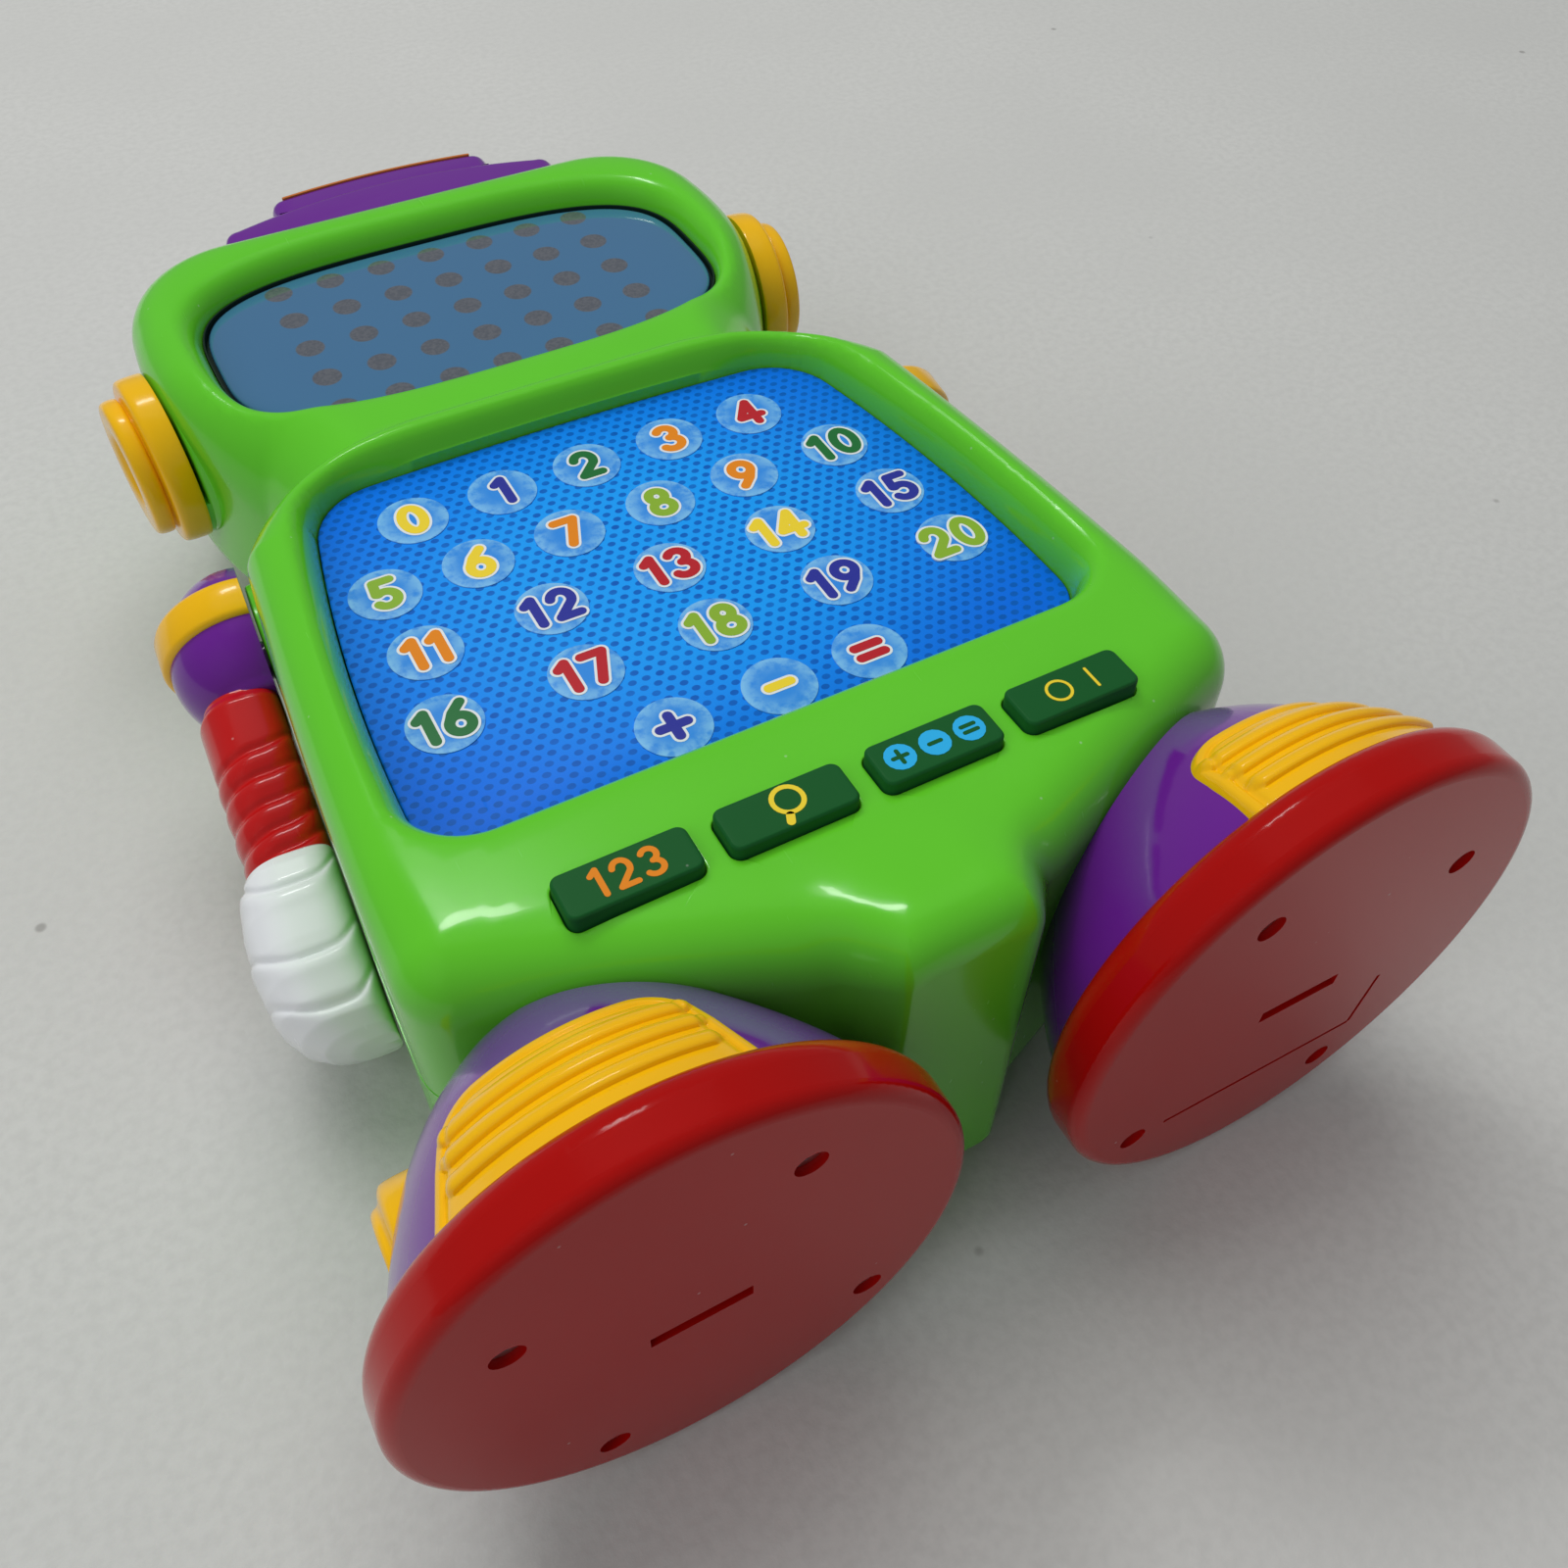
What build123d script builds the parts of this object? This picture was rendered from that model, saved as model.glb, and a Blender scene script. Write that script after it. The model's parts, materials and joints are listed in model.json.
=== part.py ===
"""Educational robot toy, lying on its back.

X runs across the robot, Y runs from the feet to the head, Z rises out of the chest.
The floor is z = 0 and the origin is the middle of the footprint. All sizes are in mm.
"""
from build123d import *
import math
import os

os.makedirs("parts", exist_ok=True)

SIDES = (("left", -1), ("right", 1))

# ---- shells ----
PART_LINE = 43.75            # parting plane of front and back shell
WALL = 3.0
HEAD_FRONT = 70.6            # crest of the head's rim
HEAD_BACK = 17.0
HEAD_ROUND = 10.0
BODY_FRONT = 76.2            # crest of the body's rim at its top edge
BODY_FRONT_SLOPE = 1.08      # degrees that the body's front rises towards the feet
BODY_ROUND = 7.0
BACK_ROUND = 7.0
BODY_TOP = 36.0
CAVITY_CEILING = 63.3        # underside of the floor below the number panel

# ---- head ----
LED_PITCH = 12.5
LED_COLUMNS = 7
LED_ROWS = 5
LED_HOLE = 7.2
WINDOW_Y = 83.2
WINDOW_WIDTH = 118.6
WINDOW_HEIGHT = 63.4
WINDOW_CORNER = 22.5
LED_Y = 82.0
WINDOW_LEDGE = 1.2
LENS_BACK = 63.6
LENS_THICKNESS = 2.0
BOARD_THICKNESS = 1.6
LEDGE_BACK = 60.6

# ---- number panel ----
PANEL_TOP = 68.1
PANEL_THICKNESS = 1.2
SHEET_THICKNESS = 0.6
PANEL_UPPER_Y = 24.25
PANEL_LOWER_Y = -70.6
TOUCH_RADIUS = 6.9
TOUCH_HEIGHT = 0.5
TOUCH_ROWS = (
    (9.75, (-38.1, -19.5, -1.2, 17.4, 36.1)),
    (-8.0, (-49.8, -31.4, -12.6, 6.9, 25.7, 46.8)),
    (-26.1, (-48.4, -24.0, 0.2, 24.1, 49.2)),
    (-44.1, (-51.4, -25.0, 0.8, 26.5, 52.5)),
    (-63.3, (-17.0, 3.7, 22.2)),
)

# ---- push buttons ----
BUTTON_NAMES = ("count_button", "search_button", "sums_button", "power_button")
BUTTON_X = (-40.25, -13.45, 13.45, 40.25)
BUTTON_Y = -96.8
BUTTON_WIDTH = 22.3
BUTTON_DEPTH = 8.9
BUTTON_TOP = 81.2
BUTTON_GAP = 0.35
BUTTON_TRAVEL = 1.2
FLANGE_TOP = 75.0
FLANGE_THICKNESS = 1.5
POCKET_CEILING = 75.2
POCKET_Y = -94.5
POCKET_WIDTH = 110.0
POCKET_DEPTH = 18.0
PAD_TOP = 70.2               # top of the rubber pad's base
PAD_THICKNESS = 1.2
DOME_HEIGHT = 1.7

# ---- ears ----
EAR_Y = 85.0
EAR_Z = 45.75
EAR_SEAT = 72.4
EAR_FLANGE = 19.0
EAR_RING = 15.0

# ---- arms: local frame with its origin on the arm's inner plane at the shoulder ----
ARM_X = 72.7
ARM_Y = 12.25
ARM_SPLAY = 3.2              # degrees that the arm leans outwards, as the side wall does
ARM_TILT = 15.0              # degrees that the hanging arm turns towards the back
BALL_RADIUS = 16.2
BALL_OUT = 2.6
BAND_RADIUS = 17.6
BAND_TOP = -7.0
BAND_WIDTH = 8.6
AXLE_RADIUS = 4.0
AXLE_CLEARANCE = 0.08
SLEEVE_START = 11.5
SLEEVE_RIBS = 5
SLEEVE_PITCH = 7.3
SLEEVE_LOW = (7.6, 10.9)     # half width and half height in a groove of the sleeve
SLEEVE_HIGH = (8.2, 11.7)    # and on a rib
GLOVE_START = SLEEVE_START + SLEEVE_RIBS * SLEEVE_PITCH
GLOVE_SECTIONS = (           # distance from the sleeve, half width, half height
    (0.0, 8.4, 12.2), (3.6, 9.3, 14.3), (7.0, 9.7, 15.1), (8.3, 9.1, 14.3), (9.6, 9.9, 15.5),
    (18.8, 10.3, 16.0), (20.1, 9.6, 15.1), (21.4, 10.2, 15.8), (28.0, 9.5, 14.6), (29.2, 8.7, 13.5),
    (30.4, 9.1, 13.9), (34.0, 7.6, 11.2), (36.4, 5.0, 7.2), (37.4, 2.4, 3.4),
)

# ---- feet: local frame on the tread plane, local Y to the toe ----
FOOT_X = 55.6
FOOT_Z = 50.0
SOLE_Y = -149.1
TOE_OUT = 7.0                # degrees that the toes turn out
SOLE_HALF_WIDTH = 45.0
SOLE_HALF_LENGTH = 50.0
SOLE_THICKNESS = 11.0
SOLE_EDGE = 2.4
SHOE_SECTIONS = (            # height above the tread, half width, half length, shifts out and to the toe
    (11.0, 41.0, 45.5, 0.0, 0.0), (20.0, 37.2, 42.5, 0.5, -1.2), (32.0, 30.5, 36.2, 1.4, -2.4), (44.0, 21.5, 26.0, 0.5, -3.5),
)
TOE_CAP_HALF_WIDTH = 25.0
TOE_CAP_TOP = 33.0
TOE_CAP_THICKNESS = 1.8
TOE_CAP_FIELD = 0.9          # thickness of the cap between its border and ribs
TOE_RIBS = (17.0, 22.0, 27.0)
LEG_X = 52.0
LEG_RADIUS = 11.0
ANKLE_Y = -123.0
ANKLE_RADIUS = 14.5
SOLE_SCREWS = ((-20.5, 26.5), (24.0, 20.8), (-25.5, -30.0), (20.3, -33.5))
SCREW_RECESS_RADIUS = 2.6
TREAD_LINE = ((33.3, 23.4), (75.6, 23.4), (77.0, 37.9))   # engraved line of the right tread, in X and Z

# ---- back ----
SHELL_SCREWS = ((50.0, 116.0), (45.0, 26.0), (62.0, -86.0))
BAY_Y = -50.0
BAY_WIDTH = 68.0
BAY_LENGTH = 64.0
TAB_Y = -10.0
CELL_RADIUS = 7.2
CELL_LENGTH = 50.0
CELL_PITCH = 16.0
SPEAKER_Y = 14.0
SPEAKER_RADIUS = 18.0


def save(piece, label):
    """Label a finished piece and write its file."""
    piece.part.label = label
    export_step(piece.part, f"parts/{label}.step")


def head_plan(height, inset=0.0):
    """Outline of the head seen from the front."""
    with BuildSketch(Plane.XY.offset(height)) as plan:
        with BuildLine():
            Line((0, 131), (44, 131))
            RadiusArc((44, 131), (72.5, 104), 28)
            RadiusArc((72.5, 104), (60.6, 48.5), 90)
            Line((60.6, 48.5), (57.5, 30))
            Line((57.5, 30), (0, 30))
            mirror(about=Plane.YZ)
        make_face()
        if inset:
            offset(amount=-inset, kind=Kind.INTERSECTION)
    return plan.sketch


def body_plan(height, inset=0.0):
    """Outline of the body seen from the front, with the pointed pelvis at the feet end."""
    with BuildSketch(Plane.XY.offset(height)) as plan:
        with BuildLine():
            Line((0, BODY_TOP), (26, BODY_TOP))
            ThreePointArc((26, BODY_TOP), (53.5, 27.5), (69, 9))
            ThreePointArc((69, 9), (75.2, -41.5), (77.6, -99))
            Polyline((77.6, -99), (19, -122.2), (12, -131), (0, -131))
            mirror(about=Plane.YZ)
        make_face()
        fillet(plan.vertices().filter_by(lambda v: abs(v.X) > 70), radius=11)
        fillet(plan.vertices().filter_by(lambda v: 18 < abs(v.X) < 20), radius=14)
        fillet(plan.vertices().filter_by(lambda v: 11 < abs(v.X) < 13 and v.Y < -130), radius=4)
        if inset:
            offset(amount=-inset, kind=Kind.INTERSECTION)
    return plan.sketch


def window_plan(height, inset=0.0):
    """Rounded outline of the display window."""
    with BuildSketch(Plane.XY.offset(height)) as plan:
        with Locations((0, WINDOW_Y)):
            RectangleRounded(WINDOW_WIDTH - 2 * inset, WINDOW_HEIGHT - 2 * inset, WINDOW_CORNER - inset)
    return plan.sketch


def panel_plan(height, inset=0.0):
    """Outline of the number panel, wider towards the feet."""
    upper = PANEL_UPPER_Y - inset
    lower = PANEL_LOWER_Y + inset
    with BuildSketch(Plane.XY.offset(height)) as plan:
        with BuildLine():
            ThreePointArc((-54 + inset, upper - 0.5), (0, upper + 1.2), (54 - inset, upper - 0.5))
            ThreePointArc((54 - inset, upper - 0.5), (61.6 - inset, -18), (63.8 - inset, lower))
            Line((63.8 - inset, lower), (inset - 63.8, lower))
            ThreePointArc((inset - 63.8, lower), (inset - 61.6, -18), (inset - 54, upper - 0.5))
        make_face()
        fillet(plan.vertices().sort_by(Axis.Y)[-2:], radius=15 - inset)
        fillet(plan.vertices().sort_by(Axis.Y)[:2], radius=10 - inset)
    return plan.sketch


def arm_plane(side, along=0.0):
    """Plane square to an arm: local X points out of the body, local Z along the arm."""
    lean = math.radians(ARM_SPLAY)
    tilt = math.radians(ARM_TILT)
    outward = (side * math.cos(lean), math.sin(lean), 0)
    down = (side * math.sin(lean) * math.cos(tilt), -math.cos(lean) * math.cos(tilt), -math.sin(tilt))
    return Plane(origin=(side * ARM_X, ARM_Y, PART_LINE), x_dir=outward, z_dir=down).offset(along)


def shoulder_plane(side, out=0.0):
    """Plane square to the shoulder's axis: local X to the front of the arm, normal out of the body."""
    lean = math.radians(ARM_SPLAY)
    tilt = math.radians(ARM_TILT)
    outward = (side * math.cos(lean), math.sin(lean), 0)
    front = (side * math.sin(lean) * math.sin(tilt), -math.cos(lean) * math.sin(tilt), math.cos(tilt))
    return Plane(origin=(side * ARM_X, ARM_Y, PART_LINE), x_dir=front, z_dir=outward).offset(out)


def foot_plane(side, height=0.0):
    """Plane of a foot's tread: local Y to the toe, height measured towards the head."""
    turn = math.radians(TOE_OUT)
    across = (math.cos(turn), 0, -side * math.sin(turn))
    return Plane(origin=(side * FOOT_X, SOLE_Y, FOOT_Z), x_dir=across, z_dir=(0, -1, 0)).offset(-height)


def side_plane(side, x, y, z):
    """Plane square to X on one side, with its normal out of the body."""
    return Plane(origin=(side * x, y, z), x_dir=(0, 1, 0), z_dir=(side, 0, 0))


# ---- forms that the shells are made from ----
with BuildPart() as head_form:
    extrude(head_plan(PART_LINE), amount=HEAD_FRONT - PART_LINE)
    fillet(head_form.faces().sort_by(Axis.Z)[-1].edges(), radius=HEAD_ROUND)
    extrude(window_plan(LENS_BACK), amount=20, mode=Mode.SUBTRACT)
    fillet(head_form.edges(Select.LAST).group_by(Axis.Z)[-1], radius=2.2)

with BuildPart() as body_form:
    extrude(body_plan(PART_LINE), amount=50)
    split(bisect_by=Plane(origin=(0, BODY_TOP, BODY_FRONT), z_dir=(0, math.tan(math.radians(BODY_FRONT_SLOPE)), 1)),
          keep=Keep.BOTTOM)
    fillet(body_form.faces().sort_by(Axis.Z)[-1].edges(), radius=BODY_ROUND)
    extrude(panel_plan(PANEL_TOP - PANEL_THICKNESS - SHEET_THICKNESS), amount=30, mode=Mode.SUBTRACT)
    fillet(body_form.edges(Select.LAST).group_by(Axis.Z, tol_digits=0)[-1], radius=3.0)

with BuildPart() as keel_form:
    with BuildSketch(Plane.XZ.offset(100)) as keel_start:
        Polygon((-9, 70), (9, 70), (7, 78.6), (-7, 78.6), align=None)
    with BuildSketch(Plane.XZ.offset(131)) as keel_end:
        Polygon((-11.5, 70), (11.5, 70), (9, 82), (-9, 82), align=None)
    loft()
    fillet(keel_form.faces().sort_by(Axis.Z)[-1].edges().sort_by(Axis.Y)[:3], radius=2.5)

with BuildPart() as head_back_form:
    extrude(head_plan(HEAD_BACK), amount=PART_LINE - HEAD_BACK)
    fillet(head_back_form.faces().sort_by(Axis.Z)[0].edges(), radius=BACK_ROUND)

with BuildPart() as body_back_form:
    extrude(body_plan(0), amount=PART_LINE)
    fillet(body_back_form.faces().sort_by(Axis.Z)[0].edges(), radius=BACK_ROUND)

with BuildPart() as boss_form:
    for _, side in SIDES:
        with BuildSketch(shoulder_plane(side, -0.7)):
            Circle(10)
        extrude(amount=-12.5)
        with BuildSketch(side_plane(side, EAR_SEAT, EAR_Y, EAR_Z)):
            Circle(18.4)
        extrude(amount=-8)

with BuildPart() as cavity_form:
    extrude(head_plan(HEAD_BACK + WALL, WALL), amount=LEDGE_BACK - HEAD_BACK - WALL)
    extrude(body_plan(WALL, WALL), amount=CAVITY_CEILING - WALL)

with BuildPart() as bore_form:
    for _, side in SIDES:
        with BuildSketch(shoulder_plane(side, 1)):
            Circle(AXLE_RADIUS + AXLE_CLEARANCE)
        extrude(amount=-17)
        with BuildSketch(side_plane(side, EAR_SEAT + 1, EAR_Y, EAR_Z)):
            Circle(6)
        extrude(amount=-12)
        with BuildSketch(side_plane(side, EAR_SEAT, EAR_Y, EAR_Z)):
            Circle(EAR_FLANGE + 0.1)
        extrude(amount=8)
        with BuildSketch(Plane.XZ.offset(126)):
            with Locations((side * LEG_X, PART_LINE)):
                Circle(LEG_RADIUS)
        extrude(amount=-26)

# ---- front shell ----
with BuildPart() as front_shell:
    add(head_form.part)
    add(body_form.part)
    add(keel_form.part)
    add(boss_form.part.split(Plane.XY.offset(PART_LINE), keep=Keep.TOP))
    add(cavity_form.part, mode=Mode.SUBTRACT)
    add(bore_form.part, mode=Mode.SUBTRACT)
    extrude(window_plan(LEDGE_BACK - 1, WINDOW_LEDGE), amount=10, mode=Mode.SUBTRACT)
    # pocket behind the push buttons and their holes
    with BuildSketch(Plane.XY.offset(PART_LINE)):
        with Locations((0, POCKET_Y)):
            Rectangle(POCKET_WIDTH, POCKET_DEPTH)
    extrude(amount=POCKET_CEILING - PART_LINE, mode=Mode.SUBTRACT)
    with BuildSketch(Plane.XY.offset(POCKET_CEILING - 1)):
        with Locations(*[(x, BUTTON_Y) for x in BUTTON_X]):
            RectangleRounded(BUTTON_WIDTH + 2 * BUTTON_GAP, BUTTON_DEPTH + 2 * BUTTON_GAP, 1.2)
    extrude(amount=12, mode=Mode.SUBTRACT)
    # posts that the push buttons' board bears on
    with BuildSketch(Plane.XY.offset(PAD_TOP - PAD_THICKNESS)):
        with Locations(*[(x, POCKET_Y + POCKET_DEPTH / 2 - 1.8) for x in (-50, -27, 0, 27, 50)]):
            Circle(1.6)
    extrude(amount=POCKET_CEILING - PAD_TOP + PAD_THICKNESS + 0.5)
    # screw posts, and the posts that carry the main board
    with BuildSketch(Plane.XY.offset(PART_LINE)):
        with Locations(*[(side * x, y) for _, side in SIDES for x, y in SHELL_SCREWS]):
            Circle(4)
    extrude(amount=20)
    with BuildSketch(Plane.XY.offset(52)):
        with GridLocations(68, 52, 2, 2):
            Circle(3)
    extrude(amount=12)
    with BuildSketch(Plane.XY.offset(PART_LINE)):
        with Locations(*[(side * x, y) for _, side in SIDES for x, y in SHELL_SCREWS]):
            Circle(1.3)
    extrude(amount=12, mode=Mode.SUBTRACT)
save(front_shell, "front_shell")

# ---- back shell ----
with BuildPart() as back_shell:
    add(head_back_form.part)
    add(body_back_form.part)
    add(boss_form.part.split(Plane.XY.offset(PART_LINE), keep=Keep.BOTTOM))
    add(cavity_form.part, mode=Mode.SUBTRACT)
    # screw columns with countersunk mouths
    for _, side in SIDES:
        for x, y in SHELL_SCREWS:
            base = HEAD_BACK if y > 60 else 0
            with BuildSketch(Plane.XY.offset(base + 1)):
                with Locations((side * x, y)):
                    Circle(5)
            extrude(amount=PART_LINE - base - 1)
            with BuildSketch(Plane.XY.offset(base)):
                with Locations((side * x, y)):
                    Circle(3.4)
            extrude(amount=16, mode=Mode.SUBTRACT)
            with BuildSketch(Plane.XY.offset(base)):
                with Locations((side * x, y)):
                    Circle(1.6)
            extrude(amount=PART_LINE - base, mode=Mode.SUBTRACT)
    # battery bay with the seat of the door's screw tab
    with BuildSketch():
        with Locations((0, BAY_Y)):
            Rectangle(BAY_WIDTH, BAY_LENGTH)
    extrude(amount=WALL, mode=Mode.SUBTRACT)
    with BuildSketch(Plane.XY.offset(1)):
        with Locations((0, TAB_Y)):
            Circle(5.4)
    extrude(amount=8)
    with BuildSketch():
        with Locations((0, TAB_Y - 4)):
            SlotOverall(18, 10, rotation=90)
    extrude(amount=2.8, mode=Mode.SUBTRACT)
    with BuildSketch():
        with Locations((0, TAB_Y)):
            Circle(1.2)
    extrude(amount=9, mode=Mode.SUBTRACT)
    # speaker rim and the slotted grille in front of it
    with BuildSketch(Plane.XY.offset(WALL)):
        with Locations((0, SPEAKER_Y)):
            Circle(SPEAKER_RADIUS + 2.2)
            Circle(SPEAKER_RADIUS + 0.2, mode=Mode.SUBTRACT)
    extrude(amount=5)
    with BuildSketch():
        for row in range(-2, 3):
            with Locations((0, SPEAKER_Y + row * 5.5)):
                SlotOverall(26 - 4 * abs(row), 2.6)
    extrude(amount=WALL, mode=Mode.SUBTRACT)
    add(bore_form.part, mode=Mode.SUBTRACT)
save(back_shell, "back_shell")

# ---- display ----
with BuildPart() as display_window:
    extrude(window_plan(LENS_BACK, 0.15), amount=LENS_THICKNESS)
save(display_window, "display_window")

with BuildPart() as display_mask:
    extrude(window_plan(LEDGE_BACK, WINDOW_LEDGE + 0.2), amount=1.9)
    with BuildSketch(Plane.XY.offset(LEDGE_BACK)):
        with Locations((0, LED_Y)):
            with GridLocations(LED_PITCH, LED_PITCH, LED_COLUMNS, LED_ROWS):
                Circle(LED_HOLE / 2)
    extrude(amount=1.9, mode=Mode.SUBTRACT)
save(display_mask, "display_mask")

with BuildPart() as display_board:
    with BuildSketch(Plane.XY.offset(LEDGE_BACK - BOARD_THICKNESS)):
        with Locations((0, WINDOW_Y)):
            RectangleRounded(116, 56, 12)
    extrude(amount=BOARD_THICKNESS)
    with BuildSketch(Plane.XY.offset(LEDGE_BACK - BOARD_THICKNESS)):
        with Locations((-28, WINDOW_Y), (28, WINDOW_Y)):
            Rectangle(18, 11)
    extrude(amount=-2.5)
save(display_board, "display_board")

with BuildPart() as display_leds:
    with BuildSketch(Plane.XY.offset(LEDGE_BACK)):
        with Locations((0, LED_Y)):
            with GridLocations(LED_PITCH, LED_PITCH, LED_COLUMNS, LED_ROWS):
                Rectangle(4, 4)
    extrude(amount=1.4)
save(display_leds, "display_leds")

# ---- number panel ----
with BuildPart() as number_panel:
    extrude(panel_plan(PANEL_TOP - PANEL_THICKNESS, 0.2), amount=PANEL_THICKNESS)
    for y, columns in TOUCH_ROWS:
        with BuildSketch(Plane.XY.offset(PANEL_TOP)):
            with Locations(*[(x, y) for x in columns]):
                Circle(TOUCH_RADIUS)
        extrude(amount=TOUCH_HEIGHT)
save(number_panel, "number_panel")

with BuildPart() as touch_sheet:
    extrude(panel_plan(PANEL_TOP - PANEL_THICKNESS - SHEET_THICKNESS, 1), amount=SHEET_THICKNESS)
save(touch_sheet, "touch_sheet")

# ---- push buttons, their rubber pad and board ----
for label, x in zip(BUTTON_NAMES, BUTTON_X):
    with BuildPart() as button:
        with BuildSketch(Plane.XY.offset(FLANGE_TOP)):
            with Locations((x, BUTTON_Y)):
                RectangleRounded(BUTTON_WIDTH, BUTTON_DEPTH, 1.0)
        extrude(amount=BUTTON_TOP - FLANGE_TOP)
        chamfer(button.faces().sort_by(Axis.Z)[-1].edges(), length=0.9)
        with BuildSketch(Plane.XY.offset(FLANGE_TOP)):
            with Locations((x, BUTTON_Y)):
                Rectangle(BUTTON_WIDTH + 3, BUTTON_DEPTH + 3)
        extrude(amount=-FLANGE_THICKNESS)
    save(button, label)

with BuildPart() as button_pad:
    with BuildSketch(Plane.XY.offset(PAD_TOP - PAD_THICKNESS)):
        with Locations((0, BUTTON_Y)):
            Rectangle(104, 10)
    extrude(amount=PAD_THICKNESS)
    with BuildSketch(Plane.XY.offset(PAD_TOP)):
        with Locations(*[(x, BUTTON_Y) for x in BUTTON_X]):
            Circle(4)
    extrude(amount=DOME_HEIGHT, taper=30)
save(button_pad, "button_pad")

with BuildPart() as button_board:
    with BuildSketch(Plane.XY.offset(PAD_TOP - PAD_THICKNESS - BOARD_THICKNESS)):
        with Locations((0, POCKET_Y)):
            Rectangle(POCKET_WIDTH - 0.2, POCKET_DEPTH - 0.2)
    extrude(amount=BOARD_THICKNESS)
save(button_board, "button_board")

with BuildPart() as main_board:
    with BuildSketch(Plane.XY.offset(52 - BOARD_THICKNESS)):
        Rectangle(76, 60)
    extrude(amount=BOARD_THICKNESS)
    with BuildSketch(Plane.XY.offset(52 - BOARD_THICKNESS)):
        with Locations((-12, 6)):
            Rectangle(16, 16)
        with Locations((18, -10)):
            Rectangle(12, 20)
    extrude(amount=-2.5)
save(main_board, "main_board")

# ---- speaker ----
with BuildPart() as speaker:
    with BuildSketch(Plane.YZ) as speaker_profile:
        with BuildLine():
            Polyline(
                (SPEAKER_Y, 8), (SPEAKER_Y + 8, 5), (SPEAKER_Y + 15, 3.4), (SPEAKER_Y + SPEAKER_RADIUS, 3.0),
                (SPEAKER_Y + SPEAKER_RADIUS, 5.5), (SPEAKER_Y + 10, 12), (SPEAKER_Y + 10, 18), (SPEAKER_Y, 18),
                close=True,
            )
        make_face()
    revolve(axis=Axis((0, SPEAKER_Y, 0), (0, 0, 1)))
save(speaker, "speaker")

# ---- battery compartment ----
with BuildPart() as battery_box:
    with BuildSketch(Plane.XY.offset(WALL)):
        with Locations((0, BAY_Y)):
            Rectangle(BAY_WIDTH + 4, BAY_LENGTH + 4)
    extrude(amount=18.5)
    with BuildSketch(Plane.XY.offset(WALL)):
        with Locations((0, BAY_Y)):
            Rectangle(BAY_WIDTH, BAY_LENGTH)
    extrude(amount=16.7, mode=Mode.SUBTRACT)
    with BuildSketch(Plane.XY.offset(16)):
        with Locations((-CELL_PITCH / 2, BAY_Y), (CELL_PITCH / 2, BAY_Y)):
            Rectangle(1.2, 40)
    extrude(amount=4)
save(battery_box, "battery_box")

with BuildPart() as cells:
    for x in (-CELL_PITCH, 0, CELL_PITCH):
        with BuildSketch(Plane.XZ.offset(-BAY_Y - CELL_LENGTH / 2)):
            with Locations((x, 12)):
                Circle(CELL_RADIUS)
        extrude(amount=CELL_LENGTH - 1)
        with BuildSketch(Plane.XZ.offset(-BAY_Y + CELL_LENGTH / 2 - 1)):
            with Locations((x, 12)):
                Circle(2.7)
        extrude(amount=1)
save(cells, "cells")

with BuildPart() as battery_contacts:
    for end in (-1, 1):
        with BuildSketch(Plane.XZ.offset(-BAY_Y + end * (BAY_LENGTH / 2 - 0.25))):
            with Locations((-CELL_PITCH, 12), (0, 12), (CELL_PITCH, 12)):
                Rectangle(11, 11)
        extrude(amount=0.25, both=True)
        for x in (-CELL_PITCH, 0, CELL_PITCH):
            with BuildSketch(Plane.XZ.offset(-BAY_Y + end * (BAY_LENGTH / 2 + CELL_LENGTH / 2) / 2)):
                with Locations((x, 12)):
                    Circle(3.5)
                    Circle(2.7, mode=Mode.SUBTRACT)
            extrude(amount=(BAY_LENGTH - CELL_LENGTH) / 4 - 0.3, both=True)
save(battery_contacts, "battery_contacts")

with BuildPart() as battery_door:
    with BuildSketch(Plane.XY.offset(0.2)):
        with Locations((0, BAY_Y)):
            Rectangle(BAY_WIDTH - 0.4, BAY_LENGTH - 0.4)
        with Locations((0, TAB_Y - 4)):
            SlotOverall(17.6, 9.6, rotation=90)
    extrude(amount=2.4)
    with BuildSketch(Plane.XY.offset(0.2)):
        with Locations((0, TAB_Y)):
            Circle(1.4)
    extrude(amount=2.4, mode=Mode.SUBTRACT)
    with BuildSketch(Plane.XY.offset(0.2)):
        with Locations((0, TAB_Y)):
            Circle(2.7)
    extrude(amount=1.6, mode=Mode.SUBTRACT)
    # finger grips
    with BuildSketch(Plane.XY.offset(0.2)):
        with Locations((0, BAY_Y - 22)):
            with GridLocations(1, 3, 1, 5):
                Rectangle(24, 1.2)
    extrude(amount=0.8, mode=Mode.SUBTRACT)
save(battery_door, "battery_door")


def pan_screw(plane, length):
    """Cross-head screw whose head stands on the plane, with its shank along the normal."""
    with BuildPart() as screw:
        with BuildSketch(plane):
            Circle(2.5)
        extrude(amount=-1.6)
        with BuildSketch(plane):
            Circle(1.2)
        extrude(amount=length)
        with BuildSketch(plane.offset(-1.6)):
            Rectangle(3, 0.7)
            Rectangle(0.7, 3)
        extrude(amount=0.8, mode=Mode.SUBTRACT)
    return screw.part


with BuildPart() as door_screw:
    add(pan_screw(Plane(origin=(0, TAB_Y, 1.8), z_dir=(0, 0, 1)), 6.0))
save(door_screw, "door_screw")

with BuildPart() as shell_screws:
    for _, side in SIDES:
        for x, y in SHELL_SCREWS:
            base = HEAD_BACK if y > 60 else 0
            add(pan_screw(Plane(origin=(side * x, y, base + 16), z_dir=(0, 0, 1)), PART_LINE - base - 16 + 10))
save(shell_screws, "shell_screws")

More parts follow.
